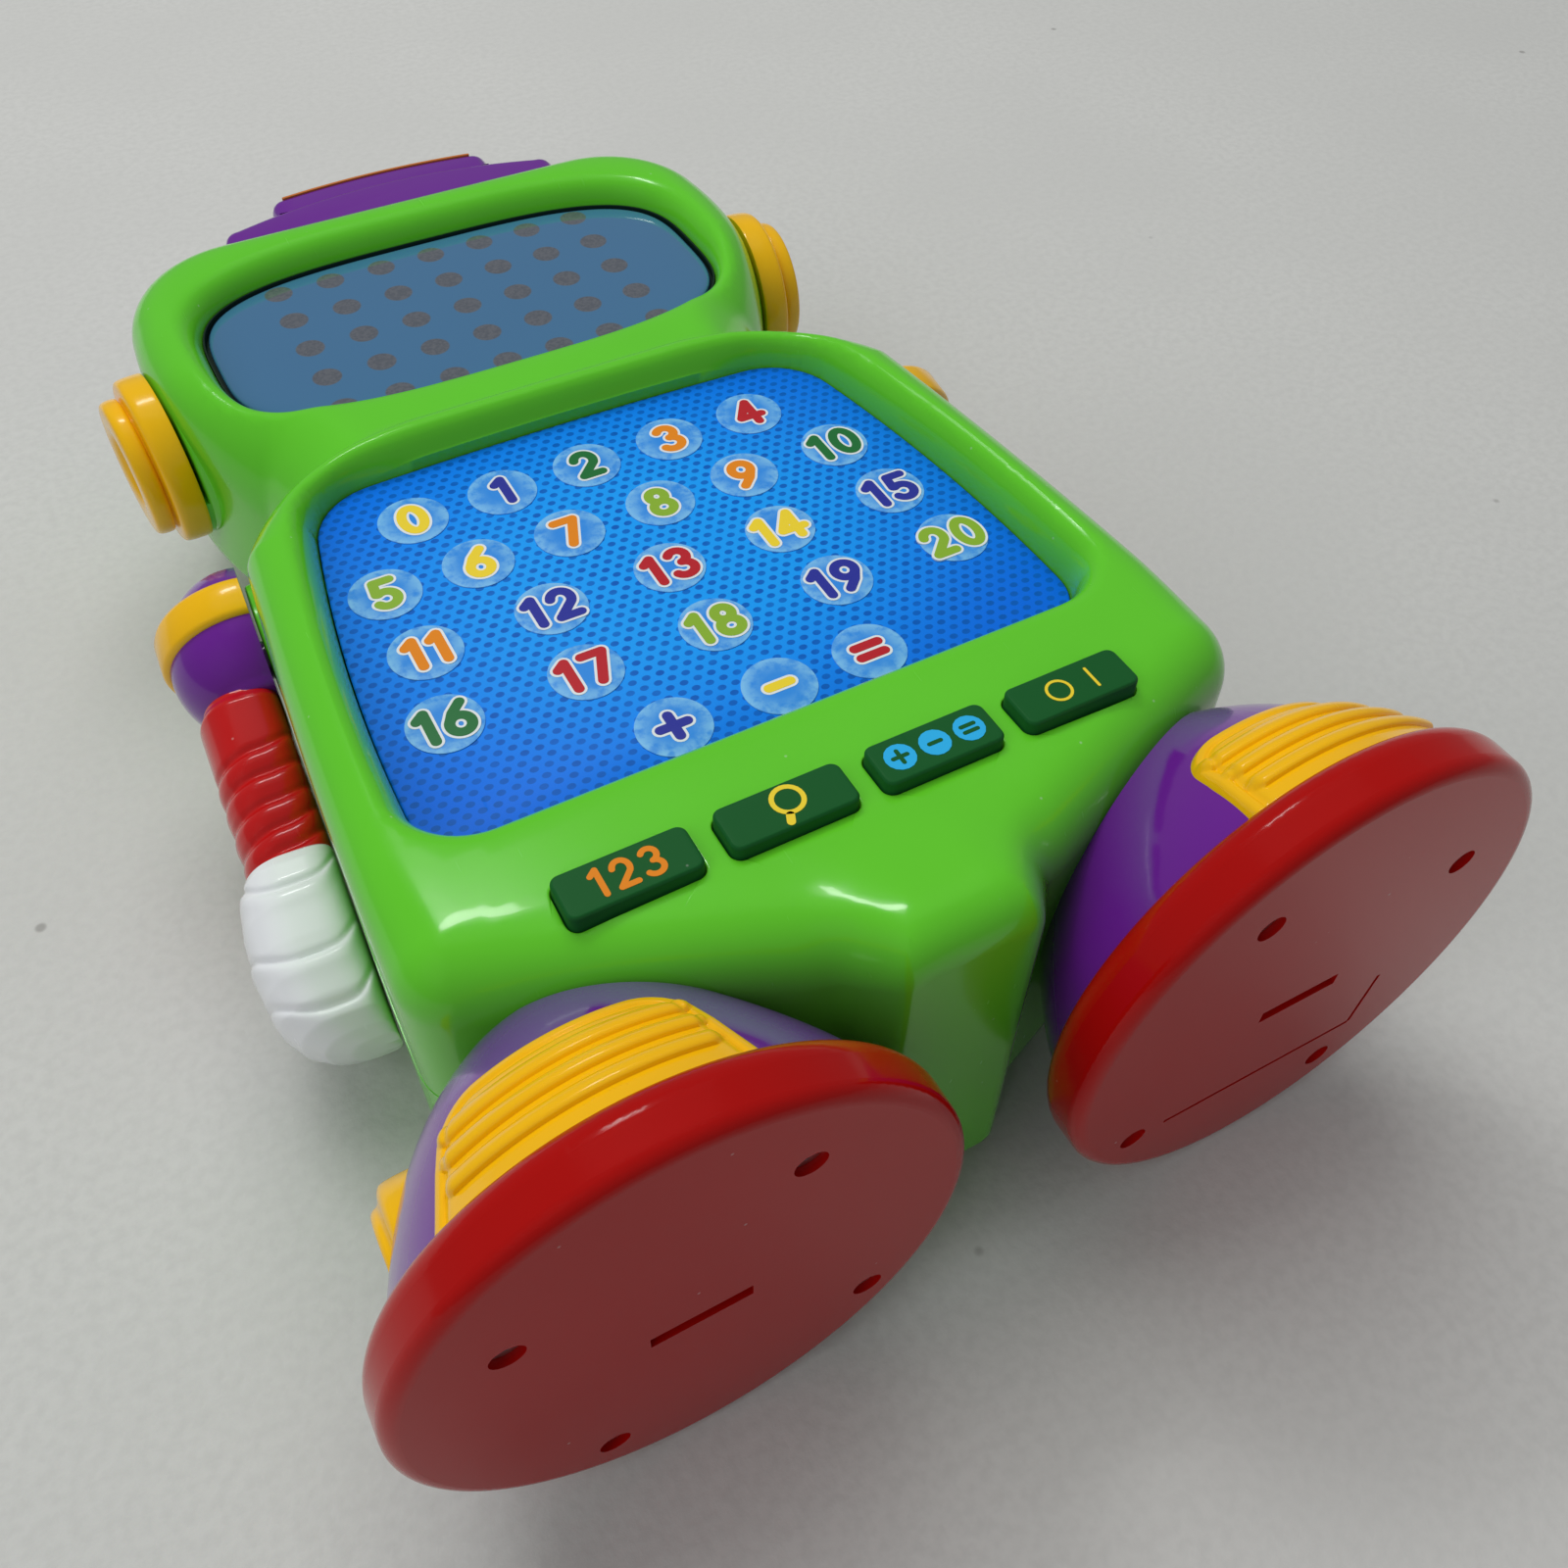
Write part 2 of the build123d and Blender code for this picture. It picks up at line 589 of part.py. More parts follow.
# ---- crest ----
with BuildPart() as crest_base:
    with BuildSketch(Plane.XY.offset(24)):
        with Locations((0, 131)):
            Rectangle(86, 20)
    extrude(amount=43.5)
    fillet(crest_base.edges().filter_by(lambda e: e.center().Y > 140), radius=4.4)
    add(head_form.part, mode=Mode.SUBTRACT)
    add(head_back_form.part, mode=Mode.SUBTRACT)
save(crest_base, "crest_base")

with BuildPart() as crest_tier:
    with BuildSketch(Plane.XY.offset(28)):
        with Locations((0, 145.05)):
            Rectangle(57, 8.1)
    extrude(amount=39)
    fillet(crest_tier.edges().filter_by(lambda e: e.center().Y > 149), radius=2.4)
    with BuildSketch(Plane.XY.offset(66)):
        with Locations((0, 144.6)):
            Rectangle(51, 1.2)
    extrude(amount=2, mode=Mode.SUBTRACT)
save(crest_tier, "crest_tier")

with BuildPart() as crest_inlay:
    with BuildSketch(Plane.XY.offset(66)):
        with Locations((0, 144.6)):
            Rectangle(51, 1.2)
    extrude(amount=1.2)
save(crest_inlay, "crest_inlay")

# ---- ears ----
for name, side in SIDES:
    with BuildPart() as ear:
        with BuildSketch(Plane(origin=(0, EAR_Y, EAR_Z), x_dir=(side, 0, 0), z_dir=(0, -side, 0))):
            with BuildLine():
                Polyline(
                    (EAR_SEAT - 9, 0), (EAR_SEAT - 9, 5.9), (EAR_SEAT, 5.9), (EAR_SEAT, EAR_FLANGE),
                    (EAR_SEAT + 4.2, EAR_FLANGE), (EAR_SEAT + 5.6, EAR_FLANGE - 1.2), (EAR_SEAT + 6, EAR_RING - 1),
                    (EAR_SEAT + 7, EAR_RING), (EAR_SEAT + 10.4, EAR_RING), (EAR_SEAT + 11.4, EAR_RING - 1),
                    (EAR_SEAT + 11.4, 8), (EAR_SEAT + 9.4, 6.5), (EAR_SEAT + 9.4, 0), close=True,
                )
            make_face()
        revolve(axis=Axis((0, EAR_Y, EAR_Z), (1, 0, 0)))
    save(ear, f"ear_{name}")

# ---- arms ----
def arm_section(side, along, half_width, half_height):
    """Oval across an arm that touches the arm's inner plane."""
    with BuildSketch(arm_plane(side, along)) as section:
        with Locations((half_width, 0)):
            Ellipse(half_width, half_height)
    return section.sketch


for name, side in SIDES:
    with BuildPart() as axle:
        with BuildSketch(shoulder_plane(side, 7)):
            Circle(AXLE_RADIUS)
        extrude(amount=-22.5)
        with BuildSketch(shoulder_plane(side, -13.6)):
            Circle(5.6)
        extrude(amount=-1.9)
    save(axle, f"shoulder_axle_{name}")

    with BuildPart() as ball:
        with BuildSketch(shoulder_plane(side, BALL_OUT)) as ball_profile:
            with BuildLine():
                CenterArc((0, 0), BALL_RADIUS, -90, 180)
                Line((0, BALL_RADIUS), (0, -BALL_RADIUS))
            make_face()
        revolve(axis=Axis(shoulder_plane(side, BALL_OUT).origin, arm_plane(side).z_dir))
        loft([arm_section(side, 4, 9.3, 15.3).face(), arm_section(side, SLEEVE_START + 1, 8.8, 12.5).face()])
        split(bisect_by=shoulder_plane(side), keep=Keep.TOP)
        split(bisect_by=arm_plane(side, SLEEVE_START + 1), keep=Keep.BOTTOM)
        with BuildSketch(arm_plane(side, BAND_TOP)):
            with Locations((BALL_OUT, 0)):
                Circle(BAND_RADIUS)
                Circle(BAND_RADIUS - 3.2, mode=Mode.SUBTRACT)
        extrude(amount=BAND_WIDTH, mode=Mode.SUBTRACT)
        with BuildSketch(shoulder_plane(side, 7)):
            Circle(AXLE_RADIUS)
        extrude(amount=-10, mode=Mode.SUBTRACT)
    save(ball, f"shoulder_{name}")

    with BuildPart() as band:
        with BuildSketch(arm_plane(side, BAND_TOP)):
            with Locations((BALL_OUT, 0)):
                Circle(BAND_RADIUS)
                Circle(BAND_RADIUS - 3.2, mode=Mode.SUBTRACT)
        extrude(amount=BAND_WIDTH)
        split(bisect_by=shoulder_plane(side), keep=Keep.TOP)
        chamfer(band.edges().filter_by(GeomType.CIRCLE).sort_by(SortBy.RADIUS)[-2:], length=0.8)
    save(band, f"shoulder_band_{name}")

    sleeve_sections = [arm_section(side, SLEEVE_START + 1, *SLEEVE_LOW).face()]
    for rib in range(SLEEVE_RIBS):
        start = SLEEVE_START + rib * SLEEVE_PITCH
        sleeve_sections.append(arm_section(side, start + 1.6, *SLEEVE_HIGH).face())
        sleeve_sections.append(arm_section(side, start + SLEEVE_PITCH - 1.2, *SLEEVE_HIGH).face())
        sleeve_sections.append(arm_section(side, start + SLEEVE_PITCH, *SLEEVE_LOW).face())
    with BuildPart() as sleeve:
        loft(sleeve_sections, ruled=True)
    save(sleeve, f"sleeve_{name}")

    with BuildPart() as glove:
        loft([arm_section(side, GLOVE_START + along, w, h).face() for along, w, h in GLOVE_SECTIONS], ruled=True)
    save(glove, f"glove_{name}")

# ---- feet ----
with BuildPart() as body_block:
    extrude(body_plan(-5), amount=100)


def shoe_loft(side, grow):
    """Dome of a shoe, grown by a wall thickness."""
    sections = []
    for height, half_width, half_length, shift_out, shift_toe in SHOE_SECTIONS:
        with BuildSketch(foot_plane(side, height)) as section:
            with Locations((side * shift_out, shift_toe)):
                Ellipse(half_width + grow, half_length + grow)
        sections.append(section.sketch.face())
    return sections


def toe_window(side, half_width, low, high, corner):
    """Region of a toe cap seen from the front of the foot: local X across, local Y towards the head."""
    tread = foot_plane(side)
    toe = Plane(origin=tread.origin, x_dir=tread.x_dir, z_dir=tread.y_dir).offset(16)
    with BuildSketch(toe) as region:
        with Locations((0, (low + high) / 2)):
            RectangleRounded(2 * half_width, high - low, corner)
    return region.sketch


for name, side in SIDES:
    with BuildPart() as sole:
        with BuildSketch(foot_plane(side)):
            Ellipse(SOLE_HALF_WIDTH, SOLE_HALF_LENGTH)
        extrude(amount=-SOLE_THICKNESS)
        fillet(sole.edges().filter_by(GeomType.ELLIPSE).sort_by(Axis.Y)[0], radius=SOLE_EDGE)
        fillet(sole.edges().filter_by(GeomType.ELLIPSE).sort_by(Axis.Y)[-1], radius=4.4)
        with BuildSketch(foot_plane(side)):
            with Locations(*[(side * x, y) for x, y in SOLE_SCREWS]):
                Circle(SCREW_RECESS_RADIUS)
        extrude(amount=-3, mode=Mode.SUBTRACT)
        with BuildSketch(foot_plane(side)):
            with Locations(*[(side * x, y) for x, y in SOLE_SCREWS]):
                Circle(1.25)
        extrude(amount=-SOLE_THICKNESS, mode=Mode.SUBTRACT)
        with BuildSketch(foot_plane(side)):
            with Locations((side * 0.1, -3.1)):
                Rectangle(16.3, 3.0, rotation=side * TOE_OUT)
        extrude(amount=-2.5, mode=Mode.SUBTRACT)
        if side > 0:
            with BuildSketch(Plane(origin=(0, SOLE_Y, 0), x_dir=(1, 0, 0), z_dir=(0, -1, 0))):
                for low, high in zip(TREAD_LINE, TREAD_LINE[1:]):
                    with BuildLine() as run:
                        Line(low, high)
                    trace(lines=run.line, line_width=0.9)
            extrude(amount=-0.8, mode=Mode.SUBTRACT)
    save(sole, f"sole_{name}")

    with BuildPart() as disc:
        with BuildSketch(side_plane(side, 80, ANKLE_Y, PART_LINE)):
            Circle(ANKLE_RADIUS)
        extrude(amount=10.5)
        with BuildSketch(side_plane(side, 90.5, ANKLE_Y, PART_LINE)):
            Circle(ANKLE_RADIUS - 3)
        extrude(amount=2)
        chamfer(disc.faces().filter_by(Axis.X).sort_by(Axis.X)[-1 if side > 0 else 0].edges(), length=0.8)
    save(disc, f"ankle_disc_{name}")

    with BuildPart() as leg:
        with BuildSketch(Plane.XZ.offset(125)):
            with Locations((side * LEG_X, PART_LINE)):
                Circle(LEG_RADIUS)
        extrude(amount=-27)
        with BuildSketch(Plane.XZ.offset(100.5)):
            with Locations((side * LEG_X, PART_LINE)):
                Circle(LEG_RADIUS + 2)
        extrude(amount=-2.5)
    save(leg, f"leg_{name}")

    with BuildPart() as shoe:
        loft(shoe_loft(side, 0))
        add(body_block.part, mode=Mode.SUBTRACT)
        add(leg.part, mode=Mode.SUBTRACT)
        add(disc.part, mode=Mode.SUBTRACT)
        with BuildSketch(foot_plane(side, SOLE_THICKNESS)):
            with Locations(*[(side * x, y) for x, y in SOLE_SCREWS]):
                Circle(1.25)
        extrude(amount=-6, mode=Mode.SUBTRACT)
    save(shoe, f"shoe_{name}")

    with BuildPart() as toe_field:
        extrude(toe_window(side, TOE_CAP_HALF_WIDTH - 2.5, SOLE_THICKNESS + 2.5, TOE_CAP_TOP - 2.5, 6.5), amount=40)
        for height in TOE_RIBS:
            extrude(toe_window(side, 18, height - 1, height + 1, 0.9), amount=40, mode=Mode.SUBTRACT)
        loft(shoe_loft(side, TOE_CAP_FIELD), mode=Mode.SUBTRACT)

    with BuildPart() as toe_cap:
        extrude(toe_window(side, TOE_CAP_HALF_WIDTH, SOLE_THICKNESS, TOE_CAP_TOP, 9), amount=40)
        loft(shoe_loft(side, TOE_CAP_THICKNESS), mode=Mode.INTERSECT)
        loft(shoe_loft(side, 0), mode=Mode.SUBTRACT)
        add(toe_field.part, mode=Mode.SUBTRACT)
    save(toe_cap, f"toe_cap_{name}")

with BuildPart() as sole_screws:
    for _, side in SIDES:
        for x, y in SOLE_SCREWS:
            face = foot_plane(side, 3)
            spot = face.origin + face.x_dir * (side * x) + face.y_dir * y
            add(pan_screw(Plane(origin=spot, x_dir=face.x_dir, z_dir=(0, 1, 0)), 12))
save(sole_screws, "sole_screws")
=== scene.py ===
"""Looks of the educational toy robot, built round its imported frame.

The robot lies on its back: X runs across it, Y from the feet to the head, Z out of the chest.
Sizes are given in millimetres and become metres when a mesh is made.
"""
from __future__ import annotations

import json
import logging
import math
from dataclasses import dataclass
from enum import Enum
from typing import Iterable, Sequence

import bmesh
import bpy
import numpy as np
from mathutils import Matrix, Vector
from mathutils.geometry import delaunay_2d_cdt

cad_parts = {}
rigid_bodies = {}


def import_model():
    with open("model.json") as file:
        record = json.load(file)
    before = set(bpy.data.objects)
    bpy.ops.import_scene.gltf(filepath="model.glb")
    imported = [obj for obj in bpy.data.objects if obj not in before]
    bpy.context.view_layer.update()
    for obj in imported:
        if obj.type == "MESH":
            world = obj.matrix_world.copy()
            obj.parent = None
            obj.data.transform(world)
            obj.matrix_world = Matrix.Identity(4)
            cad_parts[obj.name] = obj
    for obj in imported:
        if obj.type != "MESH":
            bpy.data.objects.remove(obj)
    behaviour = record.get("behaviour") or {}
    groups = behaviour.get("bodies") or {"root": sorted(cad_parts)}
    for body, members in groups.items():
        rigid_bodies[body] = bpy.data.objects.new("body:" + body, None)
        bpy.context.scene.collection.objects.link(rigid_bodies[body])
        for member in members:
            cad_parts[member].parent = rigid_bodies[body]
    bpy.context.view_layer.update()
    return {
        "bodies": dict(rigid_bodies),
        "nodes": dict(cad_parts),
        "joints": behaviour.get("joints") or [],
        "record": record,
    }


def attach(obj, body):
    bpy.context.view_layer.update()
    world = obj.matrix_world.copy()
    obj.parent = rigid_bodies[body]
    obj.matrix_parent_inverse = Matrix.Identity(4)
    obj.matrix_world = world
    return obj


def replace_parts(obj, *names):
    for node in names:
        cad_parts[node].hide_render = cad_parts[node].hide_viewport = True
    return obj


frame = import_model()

MM = 0.001
LOG = logging.getLogger("robot_looks")
PART_LINE = 43.75
SEAT_X = 72.0
EAR_AXIS = (85.0, 45.75)
EAR_TILT = 5.0
SHOULDER_Y = 12.25
ARM_SPLAY = 3.2
SEAT_STEPS = 64
TURN_STEPS = 96
ARM_STEPS = 112
SIDES: dict[str, int] = {"left": -1, "right": 1}
Colour = tuple[float, float, float]
Outline = np.ndarray
Skin = tuple[np.ndarray, list[list[int]]]
Path = list[tuple[float, float]]
Profile = Sequence[tuple[float, float]]
Material = bpy.types.Material
Node = bpy.types.Node
Piece = bpy.types.Object
Socket = bpy.types.NodeSocket
Tree = bpy.types.NodeTree


# --------------------------------------------------------------------------- outlines and meshes
def full_turn(count: int) -> np.ndarray:
    """Even angles round a circle."""
    return np.linspace(0, 2 * math.pi, count, endpoint=False)


def three_point_arc(
    start: Sequence[float], mid: Sequence[float], end: Sequence[float], count: int = 24,
) -> Outline:
    """Points on the arc through three points.

    Args:
        start: First point.
        mid: A point that the arc passes through.
        end: Last point.
        count: Number of points.

    Returns:
        The points, both ends included.
    """
    (ax, ay), (bx, by), (cx, cy) = start, mid, end
    d = 2 * (ax * (by - cy) + bx * (cy - ay) + cx * (ay - by))
    ux = ((ax**2 + ay**2) * (by - cy) + (bx**2 + by**2) * (cy - ay) + (cx**2 + cy**2) * (ay - by)) / d
    uy = ((ax**2 + ay**2) * (cx - bx) + (bx**2 + by**2) * (ax - cx) + (cx**2 + cy**2) * (bx - ax)) / d
    radius = math.hypot(ax - ux, ay - uy)
    first = math.atan2(ay - uy, ax - ux)
    turn = (d > 0) * 2 - 1
    sweep = (turn * (math.atan2(cy - uy, cx - ux) - first)) % (2 * math.pi)
    angles = first + turn * np.linspace(0, sweep, count)
    return np.stack([ux + radius * np.cos(angles), uy + radius * np.sin(angles)], 1)


def radius_arc(start: Sequence[float], end: Sequence[float], radius: float, count: int = 24) -> Outline:
    """Points on an arc of a given radius that bulges to the left of its direction of travel."""
    a, b = np.array(start, float), np.array(end, float)
    half = (b - a) / 2
    length = np.hypot(*half)
    normal = np.array([-half[1], half[0]]) / length
    rise = radius - math.sqrt(radius**2 - length**2)
    return three_point_arc(a, (a + b) / 2 + normal * rise, b, count)


def round_corner(points: Outline, corner: Sequence[float], radius: float) -> Outline:
    """Replaces a corner of an open path with an arc.

    Args:
        points: The path.
        corner: Its corner, which is one of its points.
        radius: Radius of the arc.

    Returns:
        The path with the corner rounded.
    """
    index = int(np.argmin(np.hypot(*(points - np.array(corner)).T)))
    lengths = np.hypot(*np.diff(points, axis=0).T)

    def walk(step: int, limit: float) -> tuple[np.ndarray, int]:
        """Point at a distance from the corner along the path, and the index beyond it."""
        at, left = index, limit
        while 0 <= at + step < len(points):
            run = lengths[at if step > 0 else at - 1]
            if left <= run:
                way = (points[at + step] - points[at]) / run
                return points[at] + way * left, at + step
            left -= run
            at += step
        return points[at], at

    before, _ = walk(-1, radius)
    after, _ = walk(1, radius)
    u = before - points[index]
    v = after - points[index]
    u /= np.hypot(*u)
    v /= np.hypot(*v)
    half = math.acos(float(np.clip(u @ v, -1, 1))) / 2
    cut = radius / math.tan(half)
    first, keep_low = walk(-1, cut)
    last, keep_high = walk(1, cut)
    way = (u + v) / np.hypot(*(u + v))
    middle = points[index] + way * (radius / math.sin(half) - radius)
    arc = three_point_arc(first, middle, last, 14)
    return np.vstack([points[: keep_low + 1], arc, points[keep_high:]])


def closed_from_half(half: Outline) -> Outline:
    """Mirrors a right half, given from the head end to the feet end, into a closed outline."""
    left = half[::-1] * np.array([-1, 1])
    whole = np.vstack([half, left])
    keep = np.hypot(*(whole - np.roll(whole, 1, axis=0)).T) > 1e-6
    return whole[keep]


def resample(outline: Outline, step: float) -> Outline:
    """Closed outline with even steps."""
    loop = np.vstack([outline, outline[:1]])
    along = np.concatenate([[0], np.cumsum(np.hypot(*np.diff(loop, axis=0).T))])
    count = max(12, int(round(along[-1] / step)))
    at = np.linspace(0, along[-1], count, endpoint=False)
    return np.stack([np.interp(at, along, loop[:, 0]), np.interp(at, along, loop[:, 1])], 1)


def offset_outline(outline: Outline, distance: float) -> Outline:
    """Moves each point of a closed outline along its normal, outwards for a positive distance."""
    ahead = np.roll(outline, -1, axis=0) - np.roll(outline, 1, axis=0)
    area = np.sum(outline[:, 0] * np.roll(outline[:, 1], -1) - np.roll(outline[:, 0], -1) * outline[:, 1])
    normal = np.stack([ahead[:, 1], -ahead[:, 0]], 1) * np.sign(area)
    return outline + distance * normal / np.hypot(*normal.T)[:, None]


def inside(points: np.ndarray, outline: Outline) -> np.ndarray:
    """Which points lie inside a closed outline."""
    result = np.zeros(len(points), bool)
    x, y = points[:, 0], points[:, 1]
    for (x0, y0), (x1, y1) in zip(outline, np.roll(outline, -1, axis=0)):
        if y0 == y1:
            continue
        cross = ((y0 > y) != (y1 > y)) & (x < (x1 - x0) * (y - y0) / (y1 - y0) + x0)
        result ^= cross
    return result


def distance_inside(points: np.ndarray, outline: Outline) -> np.ndarray:
    """Distance from each point to a closed outline, positive inside it."""
    a = outline
    b = np.roll(outline, -1, axis=0) - a
    square = np.maximum((b**2).sum(1), 1e-12)
    nearest = np.empty(len(points))
    batch = 3000
    for low in range(0, len(points), batch):
        part = points[low : low + batch, None, :] - a[None]
        share = np.clip((part * b).sum(2) / square, 0, 1)
        nearest[low : low + batch] = np.sqrt((((part - share[..., None] * b) ** 2).sum(2)).min(1))
    return np.where(inside(points, outline), nearest, -nearest)


def rounded_rectangle(
    width: float, height: float, radius: float, centre: Sequence[float] = (0, 0),
) -> Outline:
    """Closed outline of a rectangle with rounded corners."""
    points = []
    inner = np.array([width / 2 - radius, height / 2 - radius])
    for quarter, corner in enumerate(((1, 1), (-1, 1), (-1, -1), (1, -1))):
        angles = np.radians(np.linspace(0, 90, 9) + 90 * quarter)
        points.append(np.array(corner) * inner + radius * np.stack([np.cos(angles), np.sin(angles)], 1))
    return np.vstack(points) + np.array(centre)


def superellipse(half_width: float, half_height: float, power: float, centre: Sequence[float]) -> Outline:
    """Closed outline between an ellipse and a rectangle."""
    angle = full_turn(880)
    c, s = np.cos(angle), np.sin(angle)
    x = half_width * np.sign(c) * np.abs(c) ** (2 / power)
    y = half_height * np.sign(s) * np.abs(s) ** (2 / power)
    dense = np.stack([x, y], 1) + np.array(centre)
    return resample(dense, 1.3)


def smoothstep(low: float, high: float, value: np.ndarray) -> np.ndarray:
    """Smooth step from 0 at low to 1 at high."""
    t = np.clip((value - low) / (high - low), 0, 1)
    return t * t * (3 - 2 * t)


def smooth_max(a: np.ndarray, b: np.ndarray, width: float) -> np.ndarray:
    """Larger of two heights, blended over a width."""
    h = np.clip(0.5 + 0.5 * (a - b) / width, 0, 1)
    return b + (a - b) * h + width * h * (1 - h)


def mesh_piece(
    name: str,
    points: np.ndarray,
    faces: Iterable[Sequence[int]],
    material: Material,
    sharp: float = 40.0,
    recalculate: bool = True,
) -> Piece:
    """Makes a smooth-shaded piece.

    Args:
        name: Name of the piece.
        points: Its points in millimetres.
        faces: Its faces, as indices of the points.
        material: Its finish.
        sharp: Angle in degrees past which an edge stays sharp.
        recalculate: Whether the faces are turned outwards.

    Returns:
        The piece, at the origin.
    """
    mesh = bpy.data.meshes.new(name)
    mesh.from_pydata([tuple(p) for p in np.asarray(points, float) * MM], [], [tuple(f) for f in faces])
    mesh.validate()
    if recalculate:
        bm = bmesh.new()
        bm.from_mesh(mesh)
        bmesh.ops.remove_doubles(bm, verts=bm.verts, dist=1e-7)
        bmesh.ops.recalc_face_normals(bm, faces=bm.faces)
        bm.to_mesh(mesh)
        bm.free()
    mesh.materials.append(material)
    mesh.shade_smooth()
    mesh.set_sharp_from_angle(angle=math.radians(sharp))
    piece = bpy.data.objects.new(name, mesh)
    bpy.context.scene.collection.objects.link(piece)
    return piece


def stand_for(piece: Piece, node: str, body: str) -> Piece:
    """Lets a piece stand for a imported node.

    Args:
        piece: The piece.
        node: The node that it replaces.
        body: The body that it rides on.

    Returns:
        The piece.
    """
    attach(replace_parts(piece, node), body)
    return piece


def loft(rings: Sequence[np.ndarray], close_start: bool = True, close_end: bool = True) -> Skin:
    """Joins closed rings of equal length into a skin.

    Args:
        rings: The rings, as arrays of points.
        close_start: Whether the first ring gets a cap.
        close_end: Whether the last ring gets a cap.

    Returns:
        The points and faces.
    """
    count = len(rings[0])
    faces: list[list[int]] = []
    for k in range(len(rings) - 1):
        for i in range(count):
            j = (i + 1) % count
            faces.append([k * count + i, k * count + j, (k + 1) * count + j, (k + 1) * count + i])
    if close_start:
        faces.append(list(range(count))[::-1])
    if close_end:
        faces.append([(len(rings) - 1) * count + i for i in range(count)])
    return np.vstack(rings), faces


def flat_ring(outline: Outline, height: float) -> np.ndarray:
    """Outline placed at a height."""
    return np.column_stack([outline, np.full(len(outline), height)])


def stepped(edge: Outline, profile: Profile) -> Skin:
    """Skin of a flat form whose rim follows a profile of insets and heights."""
    return loft([flat_ring(offset_outline(edge, -inset), height) for inset, height in profile])


def triangulate(loops: Sequence[Outline], extra: np.ndarray) -> Skin:
    """Triangulates the area between an outer outline and its holes.

    Args:
        loops: The outer outline, then the holes.
        extra: Points inside the area.

    Returns:
        The points and triangles.
    """
    edges: list[tuple[int, int]] = []
    start = 0
    for loop in loops:
        edges += [(start + i, start + (i + 1) % len(loop)) for i in range(len(loop))]
        start += len(loop)
    points = np.vstack([*loops, extra]) if len(extra) else np.vstack(loops)
    made = delaunay_2d_cdt([Vector(p) for p in points], edges, [], 0, 1e-4)
    where = np.array([tuple(v) for v in made[0]])
    triangles = np.array([f for f in made[2] if len(f) == 3])
    middle = where[triangles].mean(1)
    keep = inside(middle, loops[0])
    for hole in loops[1:]:
        keep &= ~inside(middle, hole)
    return where, triangles[keep].tolist()


# --------------------------------------------------------------------------- node building
class Wire:
    """Adds nodes to a tree and joins them in one call."""

    def __init__(self, tree: Tree) -> None:
        """Keeps the tree that is being built."""
        self.tree = tree

    def add(self, kind: str, inputs: dict | None = None, **settings: object) -> Node:
        """Adds a node.

        Args:
            kind: The node's type name.
            inputs: Values or sockets for its inputs, by name or position.
            **settings: The node's own properties.

        Returns:
            The node.
        """
        node = self.tree.nodes.new(kind)
        for key, value in settings.items():
            setattr(node, key, value)
        for key, value in (inputs or {}).items():
            if isinstance(value, Socket):
                self.tree.links.new(value, node.inputs[key])
            else:
                node.inputs[key].default_value = value
        return node

    def math(self, operation: str, a: object, b: object = 0.0, clamp: bool = False) -> Socket:
        """Adds a math node and returns its result."""
        node = self.add("ShaderNodeMath", {0: a, 1: b}, operation=operation, use_clamp=clamp)
        return node.outputs[0]

    def mix(self, share: object, a: object, b: object) -> Socket:
        """Adds a colour mix node and returns its result."""
        ends = [end if isinstance(end, Socket) else (*end, 1.0) for end in (a, b)]
        return self.add("ShaderNodeMix", {0: share, 6: ends[0], 7: ends[1]}, data_type="RGBA").outputs[2]

    def oval(self, x: object, y: object, half_x: float, half_y: float) -> Socket:
        """Adds nodes for the distance from the middle of an oval, which is 1 on its edge."""
        sizes = ((x, half_x), (y, half_y))
        squares = [self.math("POWER", self.math("DIVIDE", value, half), 2.0) for value, half in sizes]
        return self.math("SQRT", self.math("ADD", *squares))

    def ramp(
        self, value: Socket, low: float, high: float, to_low: float = 0.0, to_high: float = 1.0,
    ) -> Socket:
        """Maps a value from one range to another with a smooth step."""
        node = self.add("ShaderNodeMapRange", {0: value, 1: low, 2: high, 3: to_low, 4: to_high})
        node.interpolation_type = "SMOOTHSTEP"
        return node.outputs[0]


def new_group(
    name: str, inputs: Sequence[tuple[str, str, object]], outputs: Sequence[tuple[str, str]], kind: str,
) -> tuple[Tree, Wire, Node, Node]:
    """Starts a node group.

    Args:
        name: Name of the group.
        inputs: Name, socket type and default of each input.
        outputs: Name and socket type of each output.
        kind: Type of the tree.

    Returns:
        The tree, its wire helper, and its input and output nodes.
    """
    tree = bpy.data.node_groups.new(name, kind)
    for label, socket, default in inputs:
        made = tree.interface.new_socket(name=label, in_out="INPUT", socket_type=socket)
        if default is not None:
            made.default_value = default
    for label, socket in outputs:
        tree.interface.new_socket(name=label, in_out="OUTPUT", socket_type=socket)
    wire = Wire(tree)
    return tree, wire, tree.nodes.new("NodeGroupInput"), tree.nodes.new("NodeGroupOutput")


